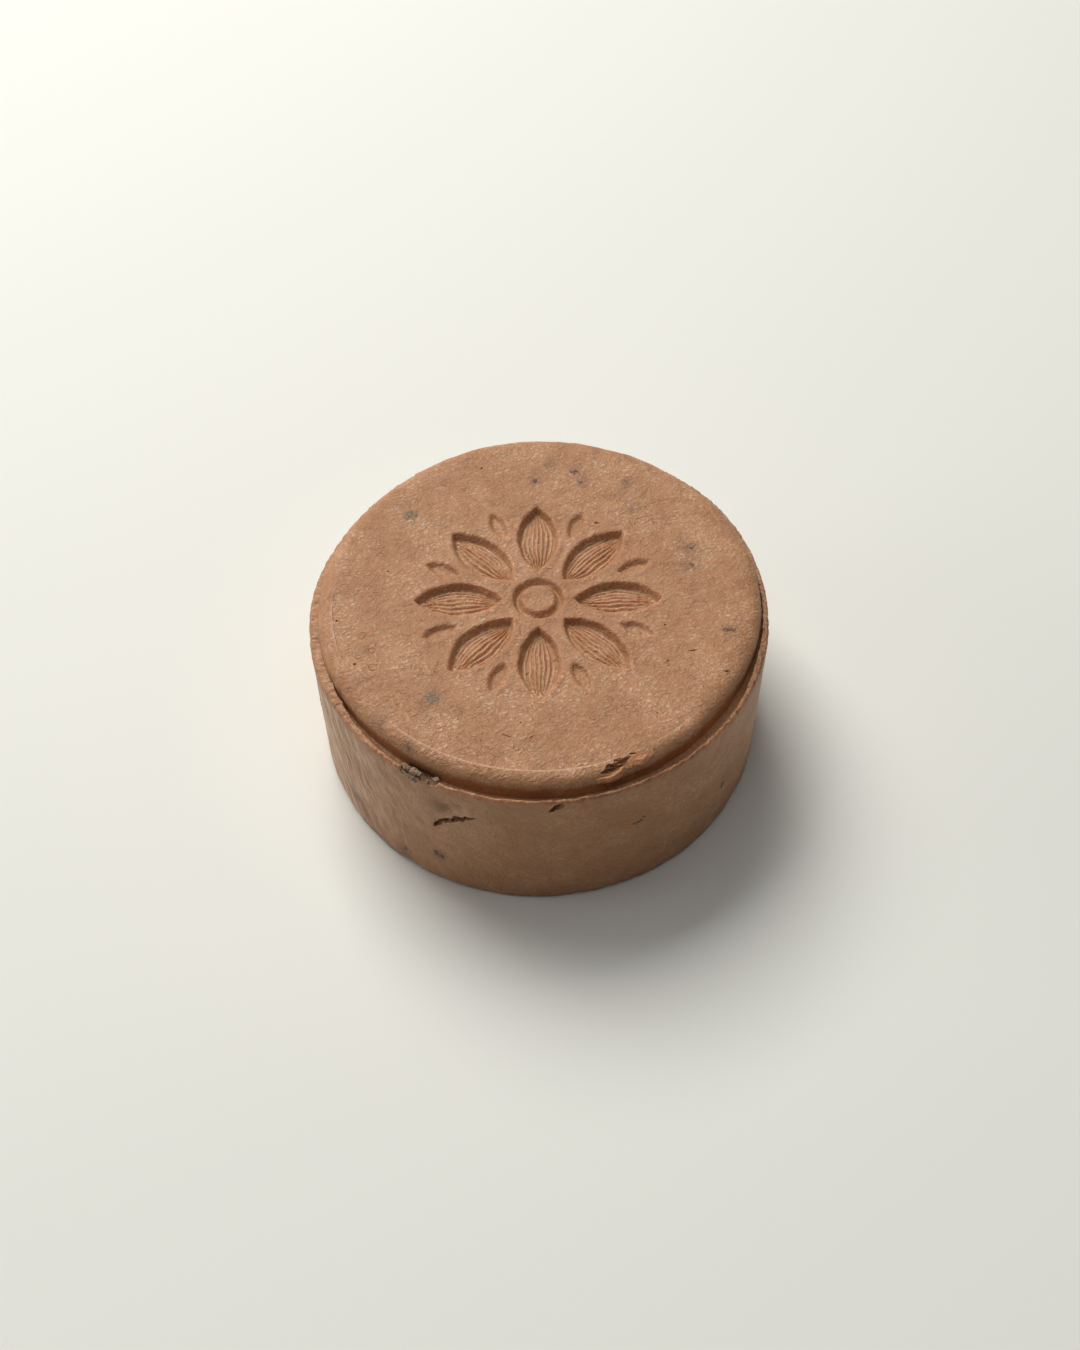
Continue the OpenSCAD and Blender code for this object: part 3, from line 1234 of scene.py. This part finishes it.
@dataclass
class ShoulderFlake(Piece):
    """Chip of the shoulder that has cracked loose and stands a little proud in two humps along the crack."""

    puck: Puck
    start: float = -76.5
    end: float = -60.5
    width: float = 1.1
    thickness: float = 0.5
    proud: float = 0.2
    # Angle from upright, round the shoulder, of the chip's upper edge at its left and right ends
    left_slope: float = 52.0
    right_slope: float = 14.0
    node = Node.SHOULDER_FLAKE
    slot = Slot.SOAP

    def place(self, along: float, down: float) -> Vector:
        """Point of the chip on the shoulder.

        Args:
            along: Way along the crack, from -1 to 1.
            down: Way down from the crack's edge, from 0 to 1.

        Returns:
            The point, lifted in two humps at the crack and sunk between them and at both ends.
        """
        puck = self.puck
        centre_r, centre_z = puck.shoulder_centre
        share = (along + 1) / 2
        direction = self.start + (self.end - self.start) * share
        edge = self.left_slope + (self.right_slope - self.left_slope) * smooth_step(0.1, 0.8, share)
        left, right = bell(share - 0.27, 0.17), bell(share - 0.76, 0.15)
        hump = left + right
        reach_down = self.width * (0.5 + 0.5 * hump)
        slope = math.radians(edge + 4 + down * math.degrees(reach_down / puck.shoulder_r))
        lift = self.proud * hump * (1 - 0.4 * down) - 0.35 * (1 - hump) - 0.3 * down * left - 0.05
        reach = puck.shoulder_r + lift
        return polar(centre_r + reach * math.sin(slope), direction, centre_z + reach * math.cos(slope))

    def build(self) -> bpy.types.Object:
        """Bends a fine grid on to the shoulder, thickens it, breaks its edges and levels it with the band.

        Returns:
            The flake's mesh object.
        """
        bpy.ops.object.select_all(action="DESELECT")
        bpy.ops.mesh.primitive_grid_add(x_subdivisions=110, y_subdivisions=16, size=2)
        piece = named("shoulder_flake_visual")
        for vertex in piece.data.vertices:
            vertex.co = self.place(vertex.co.x, (vertex.co.y + 1) / 2) * MM
        shell = piece.modifiers.new("thickness", "SOLIDIFY")
        shell.thickness = self.thickness * MM
        shell.offset = 0
        bpy.ops.object.modifier_apply(modifier=shell.name)
        with editing(piece):
            bpy.ops.mesh.select_all(action="SELECT")
            bpy.ops.mesh.normals_make_consistent(inside=False)
        sculpt(piece, lambda place: shake(place, 1.0, 3.7) * 0.16 + shake(place, 0.35, 8.2) * 0.06)
        sculpt(piece, lambda place: Vector((0, 0, min(0.0, self.puck.top_z - place.z))))
        return piece


@dataclass
class Flecks(Piece):
    """Specks that show in the surface of the block, each a thin smear that comes through it in places."""

    block: SoapBlock
    name: str
    # In the face: radius, direction, length, width and turn of each speck
    in_face: tuple[tuple[float, float, float, float, float], ...]
    # In the wall: direction, height, length, width and turn of each speck
    in_wall: tuple[tuple[float, float, float, float, float], ...] = ()
    cells: int = 26
    lift: float = 0.06
    break_up: float = 0.16
    feature: float = 0.6
    thickness: float = 0.3
    seed: float = 1.0

    def on_face(self, radius: float, direction: float, along: float, across: float) -> tuple[Vector, Vector]:
        """Point of the face near a speck's middle, and the way up from it.

        Args:
            radius: Radius of the speck's middle.
            direction: Direction of the speck's middle.
            along: Distance from the middle in X.
            across: Distance from the middle in Y.

        Returns:
            The point on the pressed face and its normal.
        """
        flat = polar(radius, direction, self.block.puck.face_z) + Vector((along, across, 0))
        return flat + self.block.shift(flat), Vector((0, 0, 1))

    def on_wall(self, direction: float, height: float, along: float, across: float) -> tuple[Vector, Vector]:
        """Point of the wall near a speck's middle, and the way out from it.

        Args:
            direction: Direction of the speck's middle.
            height: Height of the speck's middle.
            along: Distance from the middle round the wall.
            across: Distance from the middle up the wall.

        Returns:
            The point on the uneven wall and its normal.
        """
        puck = self.block.puck
        flat = polar(puck.radius, direction + math.degrees(along / puck.radius), height + across)
        return flat + puck.wall_shift(flat), Vector((flat.x, flat.y, 0)).normalized()

    def smear(self, surface: Callable[[float, float], tuple[Vector, Vector]], length: float, width: float,
              turn: float) -> bpy.types.Object:
        """Lays one speck on a surface: domed, ragged, and sunk below the surface outside its outline.

        Args:
            surface: Gives the point and the normal at a distance along and across.
            length: Length of the speck.
            width: Width of the speck.
            turn: Angle of its length from the surface's first axis.

        Returns:
            A closed thin mesh.
        """
        bpy.ops.object.select_all(action="DESELECT")
        bpy.ops.mesh.primitive_grid_add(x_subdivisions=self.cells, y_subdivisions=self.cells, size=2)
        piece = named("speck")
        slope = math.radians(turn)
        for vertex in piece.data.vertices:
            far = vertex.co.x ** 2 + vertex.co.y ** 2
            along, across = vertex.co.x * length / 2, vertex.co.y * width / 2
            place, normal = surface(along * math.cos(slope) - across * math.sin(slope),
                                    along * math.sin(slope) + across * math.cos(slope))
            height = self.lift * (1 - 2 * far) + self.break_up * ripple(place, self.feature, self.seed)
            vertex.co = (place + normal * min(height, self.lift)) * MM
        shell = piece.modifiers.new("thickness", "SOLIDIFY")
        shell.thickness = self.thickness * MM
        shell.offset = -1
        bpy.ops.object.modifier_apply(modifier=shell.name)
        return piece

    def build(self) -> bpy.types.Object:
        """Lays all specks, joins them and levels them with the band.

        Returns:
            The specks' mesh object.
        """
        specks = []
        for radius, direction, length, width, turn in self.in_face:
            specks.append(self.smear(partial(self.on_face, radius, direction), length, width, turn))
        for direction, height, length, width, turn in self.in_wall:
            specks.append(self.smear(partial(self.on_wall, direction, height), length, width, turn))
        piece = joined(specks)
        piece.name = piece.data.name = self.name
        sculpt(piece, lambda place: Vector((0, 0, min(0.0, self.block.puck.top_z - place.z))))
        return piece


@dataclass
class ClayFlecks(Flecks):
    """Two smears of grey clay in the face."""

    node = Node.CLAY_FLECKS
    slot = Slot.CLAY


@dataclass
class HerbFlecks(Flecks):
    """Dark plant bits in the face and the wall."""

    node = Node.HERB_FLECKS
    slot = Slot.HERB


# Clay in the face: radius, direction, length, width and turn of each speck
CLAY_IN_FACE = ((26.4, 139, 2.6, 2.2, 5), (24.1, -130.5, 2.6, 2.0, -40))
# Plant bits in the face, in the same order
HERBS_IN_FACE = (
    (28.9, -13.2, 2.4, 0.8, 2), (24.9, 73, 1.3, 0.8, 20), (26.7, 77, 1.3, 0.9, 5),
    (24.4, 90.6, 1.2, 0.7, 150), (25.6, 22, 1.1, 0.7, 60), (24.4, 15, 1.2, 0.7, 120),
)
# Plant bits in the wall: direction, height, length, width and turn of each
HERBS_IN_WALL = (
    (-127, 3.5, 2.0, 1.2, 20), (-116, 7.3, 2.4, 1.3, -30), (-66, 17.1, 2.4, 1.3, 25),
    (-38, 10.1, 1.9, 1.1, 60), (35, 13.9, 2.1, 1.2, -15), (118, 8.1, 2.2, 1.3, 35),
    (-165, 15.6, 2.0, 1.2, 10),
)


@dataclass(frozen=True)
class SoapFinish:
    """Milled soap, pressed and handled: waxy, a little see-through, with shiny crests and painted highlights
    and shade.
    """

    name: str = "pressed milled soap"
    # The soap's two tones, its deep tone for dark mottles and painted shade, its painted highlight, torn soap
    # with painted glints, and stains with painted shade
    body: str = "#AC7A51"
    pale: str = "#B98860"
    deep: str = "#8F5C38"
    painted_highlight: str = "#E8C7AC"
    torn: str = "#C8A488"
    dirt_and_shade: str = "#5E3F2B"
    # How far the painted highlight lightens what shines, and the roughness of plain and of shiny soap
    painted_highlight_share: float = 0.7
    dull: float = 0.5
    shiny: float = 0.24
    # Sizes of blotches, mottles, folds, grain and wrinkles, and how the folds are drawn out and slanted
    blotch: float = 7.0
    mottle: float = 2.0
    fold: float = 0.36
    grain: float = 0.24
    wrinkle: float = 2.4
    fold_run: float = 1.6
    fold_slant: float = 22.0
    # Width of the mould's streaks, how they are drawn out, how they lean and where they lie; the painted
    # sheen and darker stripes follow them
    drag: float = 0.7
    drag_run: float = 7.0
    drag_lean: float = Puck.drag_lean
    drag_direction: float = Puck.drag_direction
    # Depth and strength of the fine relief
    relief: float = 0.26
    relief_strength: float = 0.9
    # Share of the light that goes into the soap, how deep, and how deep by colour
    see_through: float = 0.5
    see_depth: float = 1.8
    see_colours: tuple[float, float, float] = (1.0, 0.4, 0.2)

    def fields(self, tree: bpy.types.NodeTree) -> Fields:
        """Adds what the layers are made from: the vertex attributes, and noise of several sizes.

        Args:
            tree: Node tree of the material.

        Returns:
            The socket of each attribute and each noise, by name.
        """
        found = {mark.value: add_node(tree, "ShaderNodeAttribute", attribute_name=mark.value).outputs["Fac"]
                 for mark in Mark}
        place = add_node(tree, "ShaderNodeTexCoord").outputs["Object"]
        slanted = add_node(tree, "ShaderNodeMapping", {
            "Vector": place, "Rotation": (0, 0, math.radians(self.fold_slant)),
            "Scale": (self.fold_run, 1, 1.5)}, vector_type="TEXTURE").outputs[0]
        drawn = add_node(tree, "ShaderNodeMapping", {
            "Vector": place, "Rotation": (math.radians(self.drag_lean), 0, math.radians(self.drag_direction)),
            "Scale": (1, 1, self.drag_run)}, vector_type="TEXTURE").outputs[0]
        for name, where, size, detail, distortion in (
                ("blotch", place, self.blotch, 3.0, 0.0), ("mottle", place, self.mottle, 4.0, 0.3),
                ("fold", slanted, self.fold, 4.0, 0.6), ("grain", place, self.grain, 2.0, 0.0),
                ("wander", slanted, self.wrinkle, 2.0, 0.8), ("streak", drawn, self.drag, 4.0, 0.0)):
            found[name] = add_node(tree, "ShaderNodeTexNoise", {
                "Vector": where, "Scale": 1 / (size * MM), "Detail": detail, "Distortion": distortion,
            }).outputs["Fac"]
        return found

    def shine(self, tree: bpy.types.NodeTree, fields: Fields) -> Socket:
        """Gathers what shines, for roughness and a painted highlight: crests and specks in patches, gloss,
        streak crests.

        Args:
            tree: Node tree of the material.
            fields: Attributes and noises by name.

        Returns:
            Socket that runs from 0 for dull to 1 for shiny.
        """
        # Painted glints: fold crests and grain specks, gathered in patches where the glint mask allows
        patch = add_node(tree, "ShaderNodeMapRange", {
            "Value": fields["blotch"], "From Min": 0.44, "From Max": 0.6, "To Min": 0.4}).outputs[0]
        patch = add_node(tree, "ShaderNodeMath", {
            0: patch, 1: fields["glints_and_wrinkles"]}, operation="MULTIPLY").outputs[0]
        crest = add_node(tree, "ShaderNodeMapRange", {
            "Value": fields["fold"], "From Min": 0.54, "From Max": 0.65}).outputs[0]
        speck = add_node(tree, "ShaderNodeMapRange", {
            "Value": fields["grain"], "From Min": 0.6, "From Max": 0.72}).outputs[0]
        raised = add_node(tree, "ShaderNodeMath", {0: crest, 1: speck}, operation="MAXIMUM").outputs[0]
        glint = add_node(tree, "ShaderNodeMath", {0: raised, 1: patch}, operation="MULTIPLY").outputs[0]
        shine = add_node(tree, "ShaderNodeMath", {
            0: glint, 1: fields["gloss_and_highlight"]}, operation="MAXIMUM").outputs[0]
        # Painted sheen on the crests of the wall's streaks, where the drag mask allows
        sheen = add_node(tree, "ShaderNodeMapRange", {
            "Value": fields["streak"], "From Min": 0.46, "From Max": 0.66, "To Max": 0.75}).outputs[0]
        sheen = add_node(tree, "ShaderNodeMath", {
            0: sheen, 1: fields["drag_and_sheen"]}, operation="MULTIPLY").outputs[0]
        return add_node(tree, "ShaderNodeMath", {0: shine, 1: sheen}, operation="MAXIMUM").outputs[0]

    def wrinkles(self, tree: bpy.types.NodeTree, fields: Fields) -> Socket:
        """Adds wrinkles where the wandering noise crosses its middle, broken off between the mottles; painted
        shade too.

        Args:
            tree: Node tree of the material.
            fields: Attributes and noises by name.

        Returns:
            Socket that is 1 in a wrinkle and 0 beside it.
        """
        across = add_node(tree, "ShaderNodeMath", {
            0: fields["wander"], 1: 0.5}, operation="SUBTRACT").outputs[0]
        away = add_node(tree, "ShaderNodeMath", {0: across}, operation="ABSOLUTE").outputs[0]
        line = add_node(tree, "ShaderNodeMapRange", {
            "Value": away, "From Min": 0.018, "From Max": 0.004}).outputs[0]
        kept = add_node(tree, "ShaderNodeMapRange", {
            "Value": fields["mottle"], "From Min": 0.47, "From Max": 0.56}).outputs[0]
        kept = add_node(tree, "ShaderNodeMath", {
            0: kept, 1: fields["glints_and_wrinkles"]}, operation="MULTIPLY").outputs[0]
        return add_node(tree, "ShaderNodeMath", {0: line, 1: kept}, operation="MULTIPLY").outputs[0]

    def hollows(self, tree: bpy.types.NodeTree, fields: Fields, wrinkle: Socket) -> Socket:
        """Gathers what is deep in colour: dark mottles, and painted shade in the folds' hollows and the
        wrinkles.

        Args:
            tree: Node tree of the material.
            fields: Attributes and noises by name.
            wrinkle: Socket of the wrinkles.

        Returns:
            Socket that runs from 0 for plain to 1 for deep.
        """
        dark = add_node(tree, "ShaderNodeMapRange", {
            "Value": fields["mottle"], "From Min": 0.52, "From Max": 0.75, "To Max": 0.35}).outputs[0]
        # Painted shade in the hollows of the folds
        hollow = add_node(tree, "ShaderNodeMapRange", {
            "Value": fields["fold"], "From Min": 0.46, "From Max": 0.3, "To Max": 0.4}).outputs[0]
        low = add_node(tree, "ShaderNodeMath", {0: dark, 1: hollow}, operation="MAXIMUM").outputs[0]
        # Painted shade in the wrinkles
        faint = add_node(tree, "ShaderNodeMath", {0: wrinkle, 1: 0.45}, operation="MULTIPLY").outputs[0]
        return add_node(tree, "ShaderNodeMath", {0: low, 1: faint}, operation="MAXIMUM").outputs[0]

    def stains_and_shade(self, tree: bpy.types.NodeTree, fields: Fields) -> Socket:
        """Gathers what is darkened: stains and painted shade broken into spots, and stripes between the
        streaks.

        Args:
            tree: Node tree of the material.
            fields: Attributes and noises by name.

        Returns:
            Socket that runs from 0 for clean to 1 for darkest.
        """
        broken = add_node(tree, "ShaderNodeMapRange", {
            "Value": fields["mottle"], "From Min": 0.3, "From Max": 0.5}).outputs[0]
        # Stains, and the painted shade on the bared ledge, in the scars and on the fin, broken into spots
        spots = add_node(tree, "ShaderNodeMath", {
            0: fields["stain_and_shade"], 1: broken}, operation="MULTIPLY").outputs[0]
        # Darker stripes between the wall's streaks, where the drag mask allows
        dark_streaks = add_node(tree, "ShaderNodeMapRange", {
            "Value": fields["streak"], "From Min": 0.46, "From Max": 0.32, "To Max": 0.5}).outputs[0]
        dark_streaks = add_node(tree, "ShaderNodeMath", {
            0: dark_streaks, 1: fields["drag_and_sheen"]}, operation="MULTIPLY").outputs[0]
        return add_node(tree, "ShaderNodeMath", {0: spots, 1: dark_streaks}, operation="MAXIMUM").outputs[0]

    def colour(self, tree: bpy.types.NodeTree, fields: Fields, shine: Socket, wrinkle: Socket) -> Socket:
        """Lays the colours over each other, from the two tones of the soap up, painted shade and highlight
        among them.

        Args:
            tree: Node tree of the material.
            fields: Attributes and noises by name.
            shine: Socket of what shines.
            wrinkle: Socket of the wrinkles.

        Returns:
            Socket of the colour.
        """
        tone = add_node(tree, "ShaderNodeMapRange", {
            "Value": fields["blotch"], "From Min": 0.35, "From Max": 0.68}).outputs[0]
        # Painted highlight: what shines is lightened towards the highlight colour
        lit = add_node(tree, "ShaderNodeMath", {
            0: shine, 1: self.painted_highlight_share}, operation="MULTIPLY").outputs[0]
        colour = linear(self.body)
        for share, layer in (
                (tone, self.pale), (self.hollows(tree, fields, wrinkle), self.deep), (lit, self.painted_highlight),
                (self.stains_and_shade(tree, fields), self.dirt_and_shade), (fields["torn"], self.torn)):
            colour = add_node(tree, "ShaderNodeMix", {0: share, 6: colour, 7: linear(layer)},
                              data_type="RGBA").outputs[2]
        return colour

    def bump(self, tree: bpy.types.NodeTree, fields: Fields, wrinkle: Socket) -> Socket:
        """Adds the fine relief of mottles, folds, grain and wrinkles.

        Args:
            tree: Node tree of the material.
            fields: Attributes and noises by name.
            wrinkle: Socket of the wrinkles.

        Returns:
            Socket of the bent normal.
        """
        height = fields["fold"]
        for layer, share in ((fields["mottle"], 1.4), (fields["grain"], 0.35), (wrinkle, -0.35)):
            height = add_node(tree, "ShaderNodeMath", {
                0: layer, 1: share, 2: height}, operation="MULTIPLY_ADD").outputs[0]
        return add_node(tree, "ShaderNodeBump", {
            "Height": height, "Strength": self.relief_strength, "Distance": self.relief * MM}).outputs[0]

    def make(self) -> bpy.types.Material:
        """Builds the finish from layered noise in the puck's own millimetres.

        Returns:
            The material.
        """
        material = bpy.data.materials.new(self.name)
        material.use_nodes = True
        tree = material.node_tree
        tree.nodes.clear()
        fields = self.fields(tree)
        shine = self.shine(tree, fields)
        wrinkle = self.wrinkles(tree, fields)
        rough = add_node(tree, "ShaderNodeMapRange", {
            "Value": shine, "To Min": self.dull, "To Max": self.shiny}).outputs[0]
        shader = add_node(tree, "ShaderNodeBsdfPrincipled", {
            "Base Color": self.colour(tree, fields, shine, wrinkle), "Roughness": rough, "IOR": 1.46,
            "Normal": self.bump(tree, fields, wrinkle), "Subsurface Weight": self.see_through,
            "Subsurface Scale": self.see_depth * MM, "Subsurface Radius": self.see_colours}).outputs[0]
        add_node(tree, "ShaderNodeOutputMaterial", {"Surface": shader})
        return material


@dataclass(frozen=True)
class DryFinish:
    """Dry, dull matter in two mixed tones, such as torn soap, clay or plant bits: rough and without gloss."""

    name: str
    body: str
    spot: str
    feature: float
    roughness: float

    def make(self) -> bpy.types.Material:
        """Builds the finish from two sizes of noise.

        Returns:
            The material.
        """
        material = bpy.data.materials.new(self.name)
        material.use_nodes = True
        tree = material.node_tree
        tree.nodes.clear()
        place = add_node(tree, "ShaderNodeTexCoord").outputs["Object"]
        patch, grit = (
            add_node(tree, "ShaderNodeTexNoise", {
                "Vector": place, "Scale": 1 / (size * MM), "Detail": 4.0}).outputs["Fac"]
            for size in (self.feature, self.feature / 3))
        share = add_node(tree, "ShaderNodeMapRange", {
            "Value": patch, "From Min": 0.38, "From Max": 0.62}).outputs[0]
        colour = add_node(tree, "ShaderNodeMix", {0: share, 6: linear(self.body), 7: linear(self.spot)},
                          data_type="RGBA").outputs[2]
        bump = add_node(tree, "ShaderNodeBump", {
            "Height": grit, "Strength": 0.7, "Distance": 0.12 * MM}).outputs[0]
        shader = add_node(tree, "ShaderNodeBsdfPrincipled", {
            "Base Color": colour, "Roughness": self.roughness, "IOR": 1.45, "Normal": bump}).outputs[0]
        add_node(tree, "ShaderNodeOutputMaterial", {"Surface": shader})
        return material


# Torn soap is drier and duller than pressed soap, with a grey-brown bloom
TORN_SOAP = DryFinish("torn dry soap", body="#A08A70", spot="#7A6552", feature=0.7, roughness=0.75)
# Clay is grey with a hint of green, and quite matt
GREY_CLAY = DryFinish("grey clay", body="#93826F", spot="#7A6656", feature=0.4, roughness=0.85)
# Plant bits have steeped to a dark brown, with lighter fibres
STEEPED_HERB = DryFinish("steeped plant bits", body="#5C4230", spot="#805C45", feature=0.4, roughness=0.7)


@dataclass(frozen=True)
class Lamp:
    """Square soft lamp that faces the puck, with its place and side in metres and its power in watts."""

    name: str
    place: tuple[float, float, float]
    side: float
    power: float
    colour: str = "#FFFFFF"

    def add(self) -> None:
        """Puts the lamp into the scene."""
        data = bpy.data.lights.new(self.name, "AREA")
        data.shape = "SQUARE"
        data.size = self.side
        data.energy = self.power
        data.color = linear(self.colour)[:3]
        lamp = bpy.data.objects.new(self.name, data)
        bpy.context.scene.collection.objects.link(lamp)
        lamp.location = self.place
        lamp.rotation_euler = Vector(self.place).to_track_quat("Z", "Y").to_euler()


@dataclass(frozen=True)
class Studio:
    """Camera of the photograph, soft light from above and behind, and a pale floor."""

    elevation: float = 51.16
    roll: float = -0.86
    distance: float = 245.0
    aim_z: float = 27.0
    lens: float = 42.95
    shift_x: float = 0.0011
    shift_y: float = -0.0505
    lamps: tuple[Lamp, ...] = (
        Lamp("key_lamp", (-0.3, 0.52, 0.82), side=0.6, power=9.8, colour="#FFFBF5"),
        Lamp("top_lamp", (0.0, -0.08, 1.0), side=0.8, power=2.0),
        Lamp("left_lamp", (-0.75, 0.0, 0.2), side=0.35, power=0.8),
    )
    # Strength of the room where it is seen or reflected, and where it only lights the puck
    room_seen: float = 0.65
    room_light: float = 0.01
    # Colour of the floor, its side in metres, and how far it lies under the puck
    floor_colour: str = "#F1F3EE"
    floor_side: float = 6.0
    floor_drop: float = 0.05

    def camera(self) -> None:
        """Puts the camera where the photograph was taken from."""
        slope = math.radians(self.elevation)
        back = Vector((0, -math.cos(slope), math.sin(slope)))
        data = bpy.data.cameras.new("camera")
        data.lens = self.lens
        data.sensor_width = 36
        data.shift_x = self.shift_x
        data.shift_y = self.shift_y
        data.clip_start = 0.01
        camera = bpy.data.objects.new("camera", data)
        bpy.context.scene.collection.objects.link(camera)
        camera.location = (back * self.distance + Vector((0, 0, self.aim_z))) * MM
        look = back.to_track_quat("Z", "Y").to_matrix().to_4x4()
        turn = look @ Matrix.Rotation(math.radians(self.roll), 4, "Z")
        camera.rotation_euler = turn.to_euler()
        bpy.context.scene.camera = camera

    def light(self) -> None:
        """Lights the puck from behind and above, with a weak lamp at the left and a pale room all round."""
        for lamp in self.lamps:
            lamp.add()
        world = bpy.data.worlds.new("studio")
        bpy.context.scene.world = world
        world.use_nodes = True
        tree = world.node_tree
        tree.nodes.clear()
        # The room is pale where it is seen or reflected, and adds almost no light of its own
        path = add_node(tree, "ShaderNodeLightPath").outputs
        seen = add_node(tree, "ShaderNodeMath", {
            0: path["Is Camera Ray"], 1: path["Is Glossy Ray"]}, operation="MAXIMUM").outputs[0]
        seen = add_node(tree, "ShaderNodeMath", {
            0: seen, 1: path["Is Transmission Ray"]}, operation="MAXIMUM").outputs[0]
        strength = add_node(tree, "ShaderNodeMapRange", {
            "Value": seen, "To Min": self.room_light, "To Max": self.room_seen}).outputs[0]
        room = add_node(tree, "ShaderNodeBackground", {
            "Color": linear("#FFFFFF"), "Strength": strength}).outputs[0]
        add_node(tree, "ShaderNodeOutputWorld", {"Surface": room})

    def floor(self) -> None:
        """Lays a plain pale floor under the puck."""
        bpy.ops.object.select_all(action="DESELECT")
        bpy.ops.mesh.primitive_plane_add(size=self.floor_side, location=(0, 0, -self.floor_drop * MM))
        floor = named("floor")
        board = bpy.data.materials.new("pale board")
        board.use_nodes = True
        tree = board.node_tree
        tree.nodes.clear()
        paper = add_node(tree, "ShaderNodeBsdfDiffuse", {"Color": linear(self.floor_colour)}).outputs[0]
        add_node(tree, "ShaderNodeOutputMaterial", {"Surface": paper})
        floor.data.materials.append(board)


def main() -> None:
    """Builds the puck piece by piece, noting each piece's triangles, then the studio."""
    logging.basicConfig(level=logging.INFO, format="%(name)s: %(message)s")
    puck = Puck.from_frame()
    block = SoapBlock(puck, Rosette())
    clay = ClayFlecks(block, "clay_flecks_visual", CLAY_IN_FACE, cells=40, feature=0.35, seed=2.0)
    herbs = HerbFlecks(block, "herb_flecks_visual", HERBS_IN_FACE, HERBS_IN_WALL, seed=4.0)
    soap = SoapFinish().make()
    dressed = (
        (block, soap), (RimFlash(puck), soap), (RimCrumbs(puck), TORN_SOAP.make()),
        (ShoulderFlake(puck), soap), (clay, GREY_CLAY.make()), (herbs, STEEPED_HERB.make()))
    for piece, finish in dressed:
        model = piece.build()
        piece.dress(model, finish)
        model.data.calc_loop_triangles()
        LOG.info("%s: %s, %d triangles", piece.node.value, model.name, len(model.data.loop_triangles))
    studio = Studio()
    studio.camera()
    studio.light()
    studio.floor()
    bpy.context.scene.view_settings.view_transform = "Standard"


if __name__ == "__main__":
    main()
